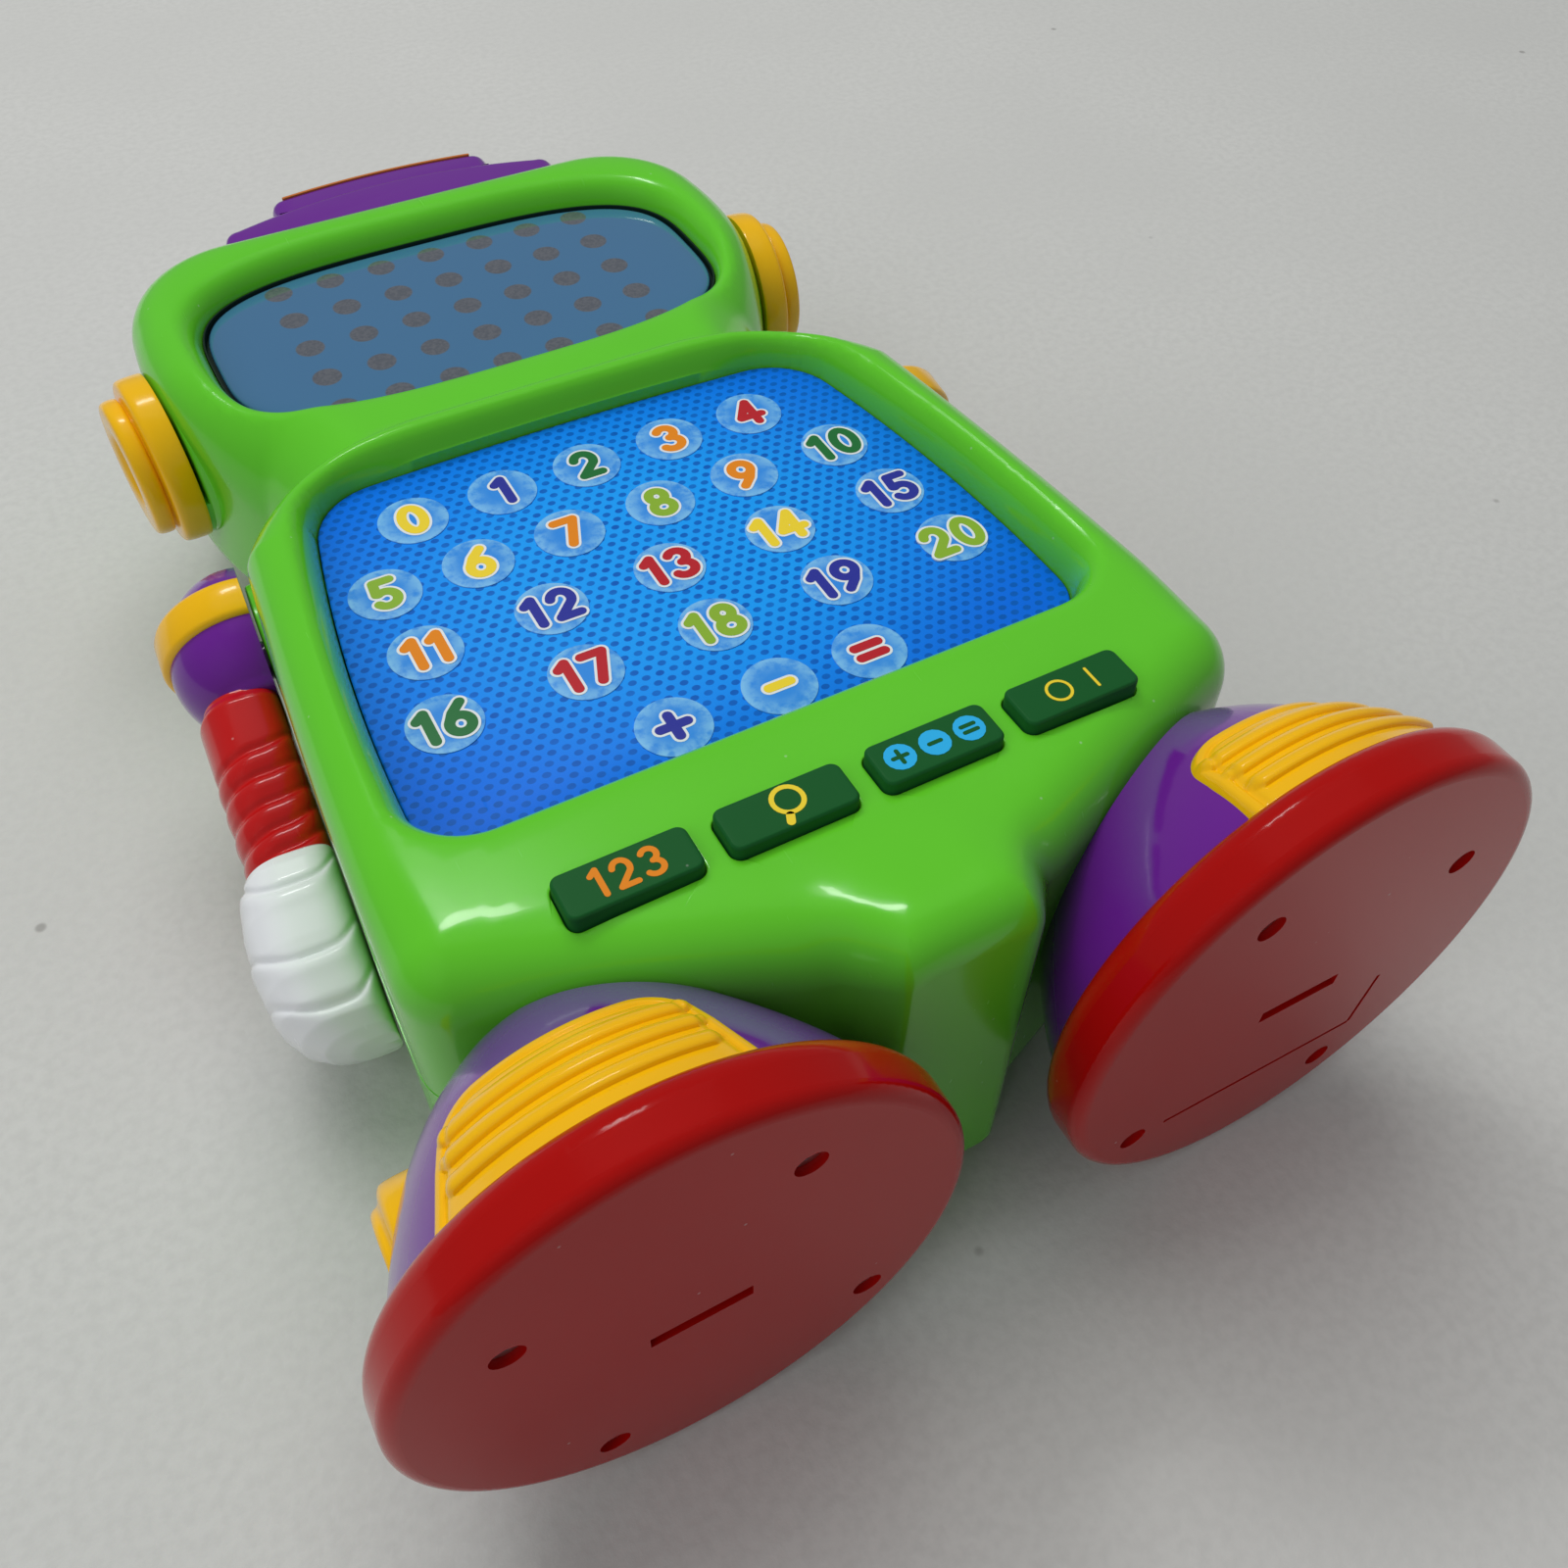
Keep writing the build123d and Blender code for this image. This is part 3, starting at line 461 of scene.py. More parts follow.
class SurfaceGroups:
    """Shader node groups that more than one finish uses."""

    def __init__(self) -> None:
        """Builds the groups once."""
        self.plastic = self._plastic()
        self.dust = self._dust()

    def _plastic(self) -> Tree:
        """Moulded plastic: colour drift, gloss drift, fine grain and hairline scratches."""
        tree, wire, source, result = new_group(
            "moulded_plastic",
            (
                ("Colour", "NodeSocketColor", (0.5, 0.5, 0.5, 1)),
                ("Drift", "NodeSocketFloat", 0.06),
                ("Gloss", "NodeSocketFloat", 0.2),
                ("Gloss Drift", "NodeSocketFloat", 0.06),
                ("Grain Size", "NodeSocketFloat", 0.0009),
                ("Grain", "NodeSocketFloat", 0.1),
            ),
            (
                ("Colour", "NodeSocketColor"), ("Roughness", "NodeSocketFloat"),
                ("Height", "NodeSocketFloat"),
            ),
            "ShaderNodeTree",
        )
        place = wire.add("ShaderNodeTexCoord").outputs["Object"]
        drift = wire.add("ShaderNodeTexNoise", {"Vector": place, "Scale": 38.0, "Detail": 3.0}).outputs[0]
        cell = wire.math("DIVIDE", 1.0, source.outputs["Grain Size"])
        grain = wire.add("ShaderNodeTexNoise", {"Vector": place, "Scale": cell, "Detail": 2.0}).outputs[0]
        streak = wire.add(
            "ShaderNodeMapping",
            {"Vector": place, "Scale": (900.0, 55.0, 300.0), "Rotation": (0.2, 0.1, 0.9)},
        ).outputs[0]
        scratch = wire.add("ShaderNodeTexNoise", {"Vector": streak, "Scale": 1.0, "Detail": 1.0}).outputs[0]
        mark = wire.ramp(scratch, 0.72, 0.8)
        swing = wire.math("SUBTRACT", drift, 0.5)
        shade = wire.math("ADD", wire.math("MULTIPLY", swing, source.outputs["Drift"]), 1.0)
        tone = wire.add(
            "ShaderNodeHueSaturation", {"Color": source.outputs["Colour"], "Value": shade},
        ).outputs[0]
        gloss = wire.math(
            "ADD", source.outputs["Gloss"], wire.math("MULTIPLY", swing, source.outputs["Gloss Drift"]),
        )
        gloss = wire.math("ADD", gloss, wire.math("MULTIPLY", mark, 0.12), clamp=True)
        height = wire.math("MULTIPLY", grain, source.outputs["Grain"])
        height = wire.math("SUBTRACT", height, wire.math("MULTIPLY", mark, 0.05))
        for key, value in (("Colour", tone), ("Roughness", gloss), ("Height", height)):
            tree.links.new(value, result.inputs[key])
        return tree

    def _dust(self) -> Tree:
        """Fine dust specks: a mask and the colour under it."""
        tree, wire, source, result = new_group(
            "dust_specks",
            (
                ("Colour", "NodeSocketColor", (0.5, 0.5, 0.5, 1)), ("Amount", "NodeSocketFloat", 0.3),
                ("Spacing", "NodeSocketFloat", 0.006),
            ),
            (("Colour", "NodeSocketColor"),),
            "ShaderNodeTree",
        )
        place = wire.add("ShaderNodeTexCoord").outputs["Object"]
        scale = wire.math("DIVIDE", 1.0, source.outputs["Spacing"])
        cells = wire.add("ShaderNodeTexVoronoi", {"Vector": place, "Scale": scale})
        spot = wire.math("SUBTRACT", 1.0, wire.ramp(cells.outputs["Distance"], 0.02, 0.055))
        chance = wire.add("ShaderNodeSeparateColor", {0: cells.outputs["Color"]}).outputs[0]
        lucky = wire.ramp(chance, 0.6, 0.7)
        share = wire.math("MULTIPLY", wire.math("MULTIPLY", spot, lucky), source.outputs["Amount"])
        tree.links.new(wire.mix(share, source.outputs["Colour"], (0.8, 0.8, 0.78)), result.inputs["Colour"])
        return tree


@dataclass(frozen=True)
class PlasticFinish:
    """A moulded plastic colour and its gloss."""

    name: str
    colour: Colour
    gloss: float = 0.22
    coat: float = 0.25
    specular: float = 0.4
    drift: float = 0.08
    gloss_drift: float = 0.08
    grain: float = 0.1
    grain_size: float = 0.0009
    bump: float = 0.03
    dust: float = 0.25

    def start(self, groups: SurfaceGroups) -> tuple[Material, Wire, Node, Node]:
        """Makes the material with its shader and the shared plastic group, which are not joined yet."""
        material = bpy.data.materials.new(self.name)
        material.use_nodes = True
        tree = material.node_tree
        tree.nodes.clear()
        wire = Wire(tree)
        shader = wire.add(
            "ShaderNodeBsdfPrincipled",
            {
                "Coat Weight": self.coat, "Coat Roughness": 0.04, "IOR": 1.5,
                "Specular IOR Level": self.specular,
            },
        )
        wire.add("ShaderNodeOutputMaterial", {"Surface": shader.outputs[0]})
        values = {"Colour": (*self.colour, 1), "Drift": self.drift, "Gloss": self.gloss}
        values |= {"Gloss Drift": self.gloss_drift, "Grain Size": self.grain_size, "Grain": self.grain}
        plastic = wire.add("ShaderNodeGroup", values, node_tree=groups.plastic)
        bump = wire.add(
            "ShaderNodeBump",
            {"Height": plastic.outputs["Height"], "Strength": 1.0, "Distance": self.bump * MM},
        )
        tree.links.new(plastic.outputs["Roughness"], shader.inputs["Roughness"])
        tree.links.new(bump.outputs[0], shader.inputs["Normal"])
        return material, wire, shader, plastic

    def material(self, groups: SurfaceGroups) -> Material:
        """Makes the finished material."""
        material, wire, shader, plastic = self.start(groups)
        under = {"Colour": plastic.outputs["Colour"], "Amount": self.dust}
        dust = wire.add("ShaderNodeGroup", under, node_tree=groups.dust)
        material.node_tree.links.new(dust.outputs[0], shader.inputs["Base Color"])
        return material


@dataclass(frozen=True)
class MetalFinish:
    """Plated steel with a fine brushed grain."""

    name: str
    colour: Colour
    gloss: float = 0.3

    def material(self, groups: SurfaceGroups) -> Material:
        """Makes the finished material."""
        made, _, shader, plastic = PlasticFinish(
            self.name, self.colour, self.gloss, 0.0, 0.5, 0.1, 0.2, 0.4, 0.0004,
        ).start(groups)
        made.node_tree.links.new(plastic.outputs["Colour"], shader.inputs["Base Color"])
        shader.inputs["Metallic"].default_value = 1.0
        return made


@dataclass(frozen=True)
class LensFinish:
    """Tinted display lens with the dim lamps that show through it."""

    name: str
    tint: Colour
    lamp: Colour
    centre_y: float
    pitch: float
    columns: int
    rows: int
    lamp_radius: float

    def material(self, groups: SurfaceGroups) -> Material:
        """Makes the lens material, with a lamp at each crossing of the grid."""
        material, wire, shader, plastic = PlasticFinish(
            self.name, self.tint, 0.05, 1.0, 0.5, 0.05, 0.03, 0.02,
        ).start(groups)
        place = wire.add("ShaderNodeTexCoord").outputs["Object"]
        at = wire.add("ShaderNodeSeparateXYZ", {0: place})
        pitch = self.pitch * MM
        offsets = []
        edges = []
        for axis, centre, count in ((0, 0.0, self.columns), (1, self.centre_y * MM, self.rows)):
            shifted = wire.math("SUBTRACT", at.outputs[axis], centre)
            share = wire.math("DIVIDE", shifted, pitch)
            near = wire.math("ROUND", share)
            offsets.append(wire.math("MULTIPLY", wire.math("SUBTRACT", share, near), pitch))
            edges.append(wire.math("LESS_THAN", wire.math("ABSOLUTE", near), count / 2))
        square = wire.math("ADD", wire.math("POWER", offsets[0], 2.0), wire.math("POWER", offsets[1], 2.0))
        distance = wire.math("SQRT", square)
        soft = wire.ramp(distance, (self.lamp_radius - 0.25) * MM, (self.lamp_radius + 0.2) * MM, 1.0, 0.0)
        mask = wire.math("MULTIPLY", wire.math("MULTIPLY", soft, edges[0]), edges[1])
        grain = wire.add("ShaderNodeTexNoise", {"Vector": place, "Scale": 1400.0, "Detail": 2.0}).outputs[0]
        warm = wire.mix(wire.ramp(grain, 0.35, 0.65), self.lamp, tuple(0.72 * c for c in self.lamp))
        colour = wire.mix(wire.math("MULTIPLY", mask, 0.85), plastic.outputs["Colour"], warm)
        material.node_tree.links.new(colour, shader.inputs["Base Color"])
        return material


@dataclass(frozen=True)
class PanelPrint:
    """Printed film of the number panel: blue with a staggered pattern of darker ovals."""

    name: str
    light: Colour
    deep: Colour
    dot: Colour
    pitch: float = 2.7
    row: float = 2.1
    oval: tuple[float, float] = (0.85, 0.68)
    middle_y: float = -22.0
    fade: tuple[float, float] = (66.0, 52.0)

    def material(self, groups: SurfaceGroups) -> Material:
        """Makes the printed film."""
        material, wire, shader, _ = PlasticFinish(
            self.name, self.light, 0.42, 0.0, 0.22, 0.04, 0.05, 0.08,
        ).start(groups)
        place = wire.add("ShaderNodeTexCoord").outputs["Object"]
        at = wire.add("ShaderNodeSeparateXYZ", {0: place})
        row = wire.math("DIVIDE", at.outputs[1], self.row * MM)
        row_index = wire.math("ROUND", row)
        odd = wire.math("MULTIPLY", wire.math("PINGPONG", row_index, 1.0), 0.5)
        column = wire.math("ADD", wire.math("DIVIDE", at.outputs[0], self.pitch * MM), odd)
        dx = wire.math("MULTIPLY", wire.math("SUBTRACT", column, wire.math("ROUND", column)), self.pitch)
        dy = wire.math("MULTIPLY", wire.math("SUBTRACT", row, row_index), self.row)
        oval = wire.ramp(wire.oval(dx, dy, *self.oval), 0.8, 1.1, 1.0, 0.0)
        blot = wire.add("ShaderNodeTexNoise", {"Vector": place, "Scale": 260.0, "Detail": 2.0}).outputs[0]
        from_middle = wire.math("SUBTRACT", at.outputs[1], self.middle_y * MM)
        far = wire.oval(at.outputs[0], from_middle, self.fade[0] * MM, self.fade[1] * MM)
        ground = wire.mix(wire.ramp(far, 0.35, 1.25), self.light, self.deep)
        strength = wire.math("MULTIPLY", oval, wire.ramp(blot, 0.2, 0.8, 0.7, 1.0))
        colour = wire.mix(strength, ground, self.dot)
        material.node_tree.links.new(colour, shader.inputs["Base Color"])
        return material


@dataclass(frozen=True)
class BubblePrint:
    """Pale clear disc printed under a number, brighter towards its rim."""

    name: str
    middle: Colour
    rim: Colour

    def material(self, groups: SurfaceGroups) -> Material:
        """Makes the disc's print, which reads the disc's own reach attribute."""
        material, wire, shader, _ = PlasticFinish(
            self.name, self.middle, 0.35, 0.0, 0.3, 0.04, 0.05, 0.08,
        ).start(groups)
        reach = wire.add("ShaderNodeAttribute", attribute_name="reach").outputs["Fac"]
        place = wire.add("ShaderNodeTexCoord").outputs["Object"]
        cloud = wire.add(
            "ShaderNodeTexNoise", {"Vector": place, "Scale": 420.0, "Detail": 4.0, "Roughness": 0.6},
        ).outputs[0]
        share = wire.math("MULTIPLY", wire.ramp(reach, 0.35, 0.98), wire.ramp(cloud, 0.3, 0.62))
        rim = wire.math("MULTIPLY", wire.ramp(reach, 0.86, 0.95), 0.12)
        share = wire.math("ADD", wire.math("MULTIPLY", share, 0.9), rim, clamp=True)
        material.node_tree.links.new(wire.mix(share, self.middle, self.rim), shader.inputs["Base Color"])
        return material


@dataclass(frozen=True)
class PaintedFloor:
    """Pale painted surface with a fine grain and a few specks."""

    name: str
    colour: Colour

    def material(self) -> Material:
        """Makes the floor's material."""
        material = bpy.data.materials.new(self.name)
        material.use_nodes = True
        tree = material.node_tree
        tree.nodes.clear()
        wire = Wire(tree)
        place = wire.add("ShaderNodeTexCoord").outputs["Object"]
        grain = wire.add("ShaderNodeTexNoise", {"Vector": place, "Scale": 420.0, "Detail": 4.0}).outputs[0]
        cloud = wire.add("ShaderNodeTexNoise", {"Vector": place, "Scale": 9.0, "Detail": 3.0}).outputs[0]
        base = wire.mix(wire.ramp(cloud, 0.3, 0.7), self.colour, tuple(0.95 * c for c in self.colour))
        base = wire.mix(wire.ramp(grain, 0.3, 0.75), base, tuple(0.92 * c for c in self.colour))
        cells = wire.add("ShaderNodeTexVoronoi", {"Vector": place, "Scale": 45.0})
        spot = wire.ramp(cells.outputs["Distance"], 0.03, 0.07, 1.0, 0.0)
        chance = wire.add("ShaderNodeSeparateColor", {0: cells.outputs["Color"]}).outputs[0]
        share = wire.math("MULTIPLY", wire.math("MULTIPLY", spot, wire.ramp(chance, 0.86, 0.9)), 0.55)
        colour = wire.mix(share, base, (0.22, 0.21, 0.2))
        bump = wire.add("ShaderNodeBump", {"Height": grain, "Strength": 0.35, "Distance": 0.0004})
        shader = wire.add(
            "ShaderNodeBsdfPrincipled",
            {"Base Color": colour, "Roughness": 0.62, "Normal": bump.outputs[0]},
        )
        wire.add("ShaderNodeOutputMaterial", {"Surface": shader.outputs[0]})
        return material


class Finish(Enum):
    """The robot's finishes."""

    GREEN = PlasticFinish("green_shell", (0.125, 0.62, 0.022), gloss=0.2, coat=0.3)
    DARK_GREEN = PlasticFinish(
        "button_green", (0.007, 0.10, 0.020), gloss=0.5, coat=0.0, specular=0.25, bump=0.05,
    )
    PURPLE = PlasticFinish("purple_trim", (0.145, 0.010, 0.30), gloss=0.15, coat=0.4)
    YELLOW = PlasticFinish("yellow_trim", (0.95, 0.52, 0.003), gloss=0.2, coat=0.3, specular=0.3)
    ORANGE = PlasticFinish("orange_inlay", (0.55, 0.16, 0.02), gloss=0.3)
    RED = PlasticFinish("red_trim", (0.55, 0.006, 0.006), gloss=0.2, coat=0.3)
    # Deeper red than the red trim: painted shade, for soles that face away from the light.
    SOLE = PlasticFinish(
        "sole_red", (0.42, 0.004, 0.003), gloss=0.13, coat=0.0, specular=0.22, gloss_drift=0.04,
    )
    WHITE = PlasticFinish("white_glove", (0.88, 0.90, 0.93), gloss=0.22, coat=0.3, dust=0.1)
    MASK = PlasticFinish("mask_blue", (0.05, 0.16, 0.30), gloss=0.5, coat=0.0)
    # Painted shadow: a near-black finish for pieces that stand in the unlit depth of a gap.
    DARK_GAP = PlasticFinish("shadow_gap", (0.004, 0.02, 0.012), gloss=0.6, coat=0.0, dust=0.0)
    BOARD = PlasticFinish("circuit_board", (0.03, 0.20, 0.08), gloss=0.35, coat=0.2)
    LAMP = PlasticFinish("lamp_body", (0.72, 0.66, 0.55), gloss=0.1, coat=0.5)
    FILM = PlasticFinish("clear_film", (0.72, 0.72, 0.70), gloss=0.4, coat=0.0)
    PAD = PlasticFinish("pad_rubber", (0.50, 0.50, 0.48), gloss=0.7, coat=0.0, grain=0.4)
    BLACK = PlasticFinish("speaker_black", (0.02, 0.02, 0.02), gloss=0.45, coat=0.0)
    CELL = PlasticFinish("cell_wrap", (0.10, 0.10, 0.12), gloss=0.25, coat=0.3)
    STEEL = MetalFinish("plated_steel", (0.62, 0.62, 0.63))
    LENS = LensFinish("window_tint", (0.045, 0.165, 0.33), (0.125, 0.115, 0.115), 82.0, 12.5, 7, 5, 3.25)
    PRINT = PanelPrint("panel_print", (0.008, 0.345, 0.98), (0.002, 0.15, 0.86), (0.001, 0.105, 0.50))
    BUBBLE = BubblePrint("bubble_print", (0.035, 0.27, 0.80), (0.20, 0.52, 0.88))
    INK_WHITE = PlasticFinish("ink_white", (0.80, 0.84, 0.86), gloss=0.35, coat=0.2, dust=0.0)
    INK_YELLOW = PlasticFinish("ink_yellow", (0.90, 0.68, 0.03), gloss=0.35, coat=0.2, dust=0.0)
    INK_BLUE = PlasticFinish("ink_dark_blue", (0.020, 0.028, 0.33), gloss=0.35, coat=0.2, dust=0.0)
    INK_GREEN = PlasticFinish("ink_dark_green", (0.010, 0.16, 0.035), gloss=0.35, coat=0.2, dust=0.0)
    INK_ORANGE = PlasticFinish(
        "ink_orange", (0.80, 0.25, 0.015), gloss=0.45, coat=0.0, specular=0.2, dust=0.0,
    )
    INK_RED = PlasticFinish("ink_red", (0.50, 0.010, 0.020), gloss=0.35, coat=0.2, dust=0.0)
    INK_LIME = PlasticFinish("ink_light_green", (0.26, 0.46, 0.03), gloss=0.35, coat=0.2, dust=0.0)
    INK_CYAN = PlasticFinish("ink_cyan", (0.03, 0.45, 0.85), gloss=0.45, coat=0.0, specular=0.2, dust=0.0)


class Paintbox:
    """Makes each finish once."""

    def __init__(self) -> None:
        """Builds the shared groups."""
        self.groups = SurfaceGroups()
        self.made: dict[Finish, Material] = {}

    def get(self, finish: Finish) -> Material:
        """Returns a finish's material."""
        if finish not in self.made:
            self.made[finish] = finish.value.material(self.groups)
        return self.made[finish]


# --------------------------------------------------------------------------- placing
@dataclass(frozen=True)
class ArmFrame:
    """An arm's own frame: out of the body, towards the chest side, and along the arm."""

    side: int
    x: float = 72.7
    y: float = SHOULDER_Y
    splay: float = ARM_SPLAY
    tilt: float = 15.0

    def place(self, out: np.ndarray, up: np.ndarray, along: np.ndarray) -> np.ndarray:
        """Points of the row frame from the arm's own coordinates."""
        lean, tilt = math.radians(self.splay), math.radians(self.tilt)
        outward = np.array([self.side * math.cos(lean), math.sin(lean), 0])
        level = np.array([self.side * math.sin(lean), -math.cos(lean), 0])
        down = level * math.cos(tilt) - np.array([0, 0, math.sin(tilt)])
        front = level * math.sin(tilt) + np.array([0, 0, math.cos(tilt)])
        origin = np.array([self.side * self.x, self.y, PART_LINE])
        return origin + np.outer(out, outward) + np.outer(up, front) + np.outer(along, down)


@dataclass(frozen=True)
class FootFrame:
    """A foot's own frame: across, to the toe, and from the tread towards the head."""

    side: int
    x: float = 55.6
    y: float = -149.1
    z: float = 50.0
    toe_out: float = 7.0

    def place(self, across: np.ndarray, toe: np.ndarray, height: np.ndarray) -> np.ndarray:
        """Points of the row frame from the foot's own coordinates."""
        turn = math.radians(self.toe_out)
        sideways = np.array([math.cos(turn), 0, -self.side * math.sin(turn)])
        forward = np.array([self.side * math.sin(turn), 0, math.cos(turn)])
        origin = np.array([self.side * self.x, self.y, self.z])
        return origin + np.outer(across, sideways) + np.outer(toe, forward) + np.outer(height, (0, 1, 0))


# --------------------------------------------------------------------------- head and body shell
@dataclass
class FrontShell:
    """Green front shell: the head's rim, the body's rim and the pelvis as one moulded skin."""

    head_crest: float = 70.6
    body_crest: float = 76.2
    body_rise: float = 1.08
    head_round: float = 10.0
    head_inner: tuple[float, float] = (5.0, 7.3)
    body_round: float = 9.0
    body_inner: tuple[float, float] = (4.6, 10.0)
    keel_height: float = 3.4
    neck_blend: float = 3.2
    neck_reach: float = 14.0
    neck_depth: float = 16.0
    crown: float = 0.55
    head_top: float = 131.0
    cheek: tuple[float, float] = (72.5, 104.0)
    jaw: tuple[float, float] = (60.6, 48.5)
    notch: tuple[float, float] = (57.2, 26.2)
    collar: tuple[float, float] = (70.9, 9.0)
    hip: tuple[float, float] = (77.6, -99.0)
    belly: tuple[float, float] = (19.0, -122.2)
    keel_end: tuple[float, float] = (12.0, -131.0)
    panel_head: tuple[float, float] = (54.0, 23.75)
    panel_foot: tuple[float, float] = (64.2, -74.4)
    window_half: tuple[float, float] = (59.0, 31.6)
    window_power: float = 3.35
    window_centre: tuple[float, float] = (0.0, 83.2)
    window_floor: float = 62.6
    panel_floor: float = 66.2
    button_floor: float = 73.0
    grid: float = 2.6
    button_x: tuple[float, ...] = (-40.25, -13.45, 13.45, 40.25)
    button_y: float = -96.8
    button_size: tuple[float, float] = (22.9, 9.5)
    ring_steps: tuple[float, ...] = (0.06, 0.25, 0.6, 1.1, 1.7, 2.5, 3.4, 4.5, 5.8, 7.4, 9.4)
    hole_steps: tuple[float, ...] = (0.06, 0.25, 0.6, 1.1, 1.8, 2.7, 3.8, 5.2)
    button_steps: tuple[float, ...] = (0.08, 0.25, 0.45, 1.2)
    ear_seat: Profile = (
        (61.5, 0.0), (61.5, 24.0), (64.0, 23.0), (68.0, 20.8), (71.3, 18.9), (71.9, 17.9), (71.9, 0.0),
    )
    shoulder_boss: Profile = ((60.0, 0.0), (60.0, 15.4), (71.6, 15.4), (72.3, 14.6), (72.3, 0.0))

    def head_outline(self, tail: float) -> Outline:
        """Outline of the head; the tail is where its neck ends."""
        top = np.array([[0, self.head_top], [44, self.head_top]], float)
        corner = radius_arc(top[1], self.cheek, 28)[1:]
        cheek = radius_arc(self.cheek, self.jaw, 90)[1:]
        neck = np.array([[57.5, 30], [56.0, tail], [0, tail]], float)
        return closed_from_half(np.vstack([top, corner, cheek, neck]))

    def body_half(self) -> Outline:
        """Right half of the body's outline, from the neck to the pelvis."""
        shoulder = three_point_arc((26, 36), (54.3, 28.0), self.collar)
        flank = three_point_arc(self.collar, (75.3, -41.5), self.hip)[1:]
        half = np.vstack([[[0, 36.0]], shoulder, flank, [self.belly, self.keel_end, [0, self.keel_end[1]]]])
        for corner, radius in ((self.hip, 11), (self.belly, 14), (self.keel_end, 4)):
            half = round_corner(half, corner, radius)
        return half

    def body_outline(self) -> Outline:
        """Closed outline of the body."""
        return closed_from_half(self.body_half())

    def whole_outline(self) -> Outline:
        """Outline of head and body together, with a filleted notch at the neck."""
        notch = np.array(self.notch)
        head = self.head_outline(20.0)
        head = head[(head[:, 0] >= 0) & (head[:, 1] > notch[1] + 0.5)]
        head = head[np.argsort(-head[:, 1], kind="stable")]
        on_top = head[:, 1] >= self.head_top - 0.1
        top, sidewall = head[on_top], head[~on_top]
        top = top[np.argsort(top[:, 0], kind="stable")]
        body = self.body_half()
        below = body[(body[:, 1] < notch[1] - 0.3) & ((body[:, 0] > notch[0]) | (body[:, 1] < -50))]
        half = round_corner(np.vstack([top, sidewall, [notch], below]), notch, 3.5)
        return resample(closed_from_half(half), 1.25)

    def window(self) -> Outline:
        """Outline of the display window."""
        return superellipse(*self.window_half, self.window_power, self.window_centre)

    def panel(self) -> Outline:
        """Outline of the number panel's recess."""
        upper = three_point_arc((0, 25.45), (27.2, 25.03), self.panel_head, 14)
        flank = three_point_arc(self.panel_head, (61.6, -18), self.panel_foot, 24)[1:]
        half = np.vstack([upper, flank, [[0, self.panel_foot[1]]]])
        half = round_corner(half, self.panel_head, 15)
        half = round_corner(half, self.panel_foot, 11)
        return resample(closed_from_half(half), 1.25)

    def button_holes(self) -> list[Outline]:
        """Outlines of the holes that the push buttons stand in."""
        return [rounded_rectangle(*self.button_size, 2.1, (x, self.button_y)) for x in self.button_x]

    @staticmethod
    def drop(distance: np.ndarray, reach: np.ndarray | float, depth: np.ndarray | float) -> np.ndarray:
        """How far a rounded edge lies below its crest at a distance from the edge."""
        share = np.clip(1 - distance / reach, 0, 1)
        return depth * (1 - np.sqrt(np.maximum(1 - share**2, 0)))

    def height(self, at: np.ndarray) -> np.ndarray:
        """Height of the shell's face.

        Args:
            at: Points in plan.

        Returns:
            Their heights.
        """
        x, y = at[:, 0], at[:, 1]
        to_head = distance_inside(at, self._head)
        to_body = distance_inside(at, self._body)
        to_window = -distance_inside(at, self._window)
        to_panel = -distance_inside(at, self._panel)
        neck = (1 - smoothstep(38, 82, y)) * smoothstep(20, 52, np.abs(x))
        reach = self.head_round + self.neck_reach * neck
        head = self.head_crest - self.drop(to_head, reach, self.head_round + self.neck_depth * neck)
        across = to_head / np.maximum(to_head + np.maximum(to_window, 0), 1.0)
        head -= self.crown * np.abs(2 * across - 1) ** 2
        head -= self.drop(to_window, *self.head_inner)
        head = np.where(to_head < 0, head + 4 * to_head, head)
        crest = self.body_crest + (36 - y) * math.tan(math.radians(self.body_rise))
        low = 1 - smoothstep(-100, -70, y)
        pelvis = 1 - smoothstep(10, 24, np.abs(x))
        keel = self.keel_height * (1 - smoothstep(5, 22, np.abs(x))) * (1 - smoothstep(-126, -100, y))
        reach = self.body_round + 2.5 * low * (1 - pelvis) - 1.0 * low * pelvis
        body = crest + keel - self.drop(to_body, reach, reach)
        body -= self.drop(to_panel, *self.body_inner)
        body = np.where(to_body < 0, body + 3 * to_body, body)
        whole = smooth_max(head, body, self.neck_blend)
        edge = np.full(len(at), 9.0)
        for hole in self._holes:
            edge = np.minimum(edge, np.abs(distance_inside(at, hole)))
        return np.maximum(whole - self.drop(edge, 0.3, 0.2), PART_LINE + 0.5)

    def build(self, paint: Paintbox) -> list[Piece]:
        """Builds the shell.

        Args:
            paint: The finishes.

        Returns:
            The pieces made.
        """
        self._head, self._body = resample(self.head_outline(12.0), 1.0), resample(self.body_outline(), 1.0)
        self._window, self._panel, self._holes = self.window(), self.panel(), self.button_holes()
        outline = self.whole_outline()
        openings = [self._window, self._panel, *self._holes]
        points = self._spread(outline)
        good = distance_inside(points, outline) > 0.03
        for hole in openings:
            good &= distance_inside(points, hole) < -0.03
        plan, triangles = triangulate([outline, *openings], points[good])
        face = np.column_stack([plan, self.height(plan)])
        piece = mesh_piece(
            "front_shell_skin", face, triangles, paint.get(Finish.GREEN), 45, recalculate=False,
        )
        self._walls(piece.data)
        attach(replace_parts(piece, "front_shell"), "robot")
        return [piece, *self._seats(paint)]

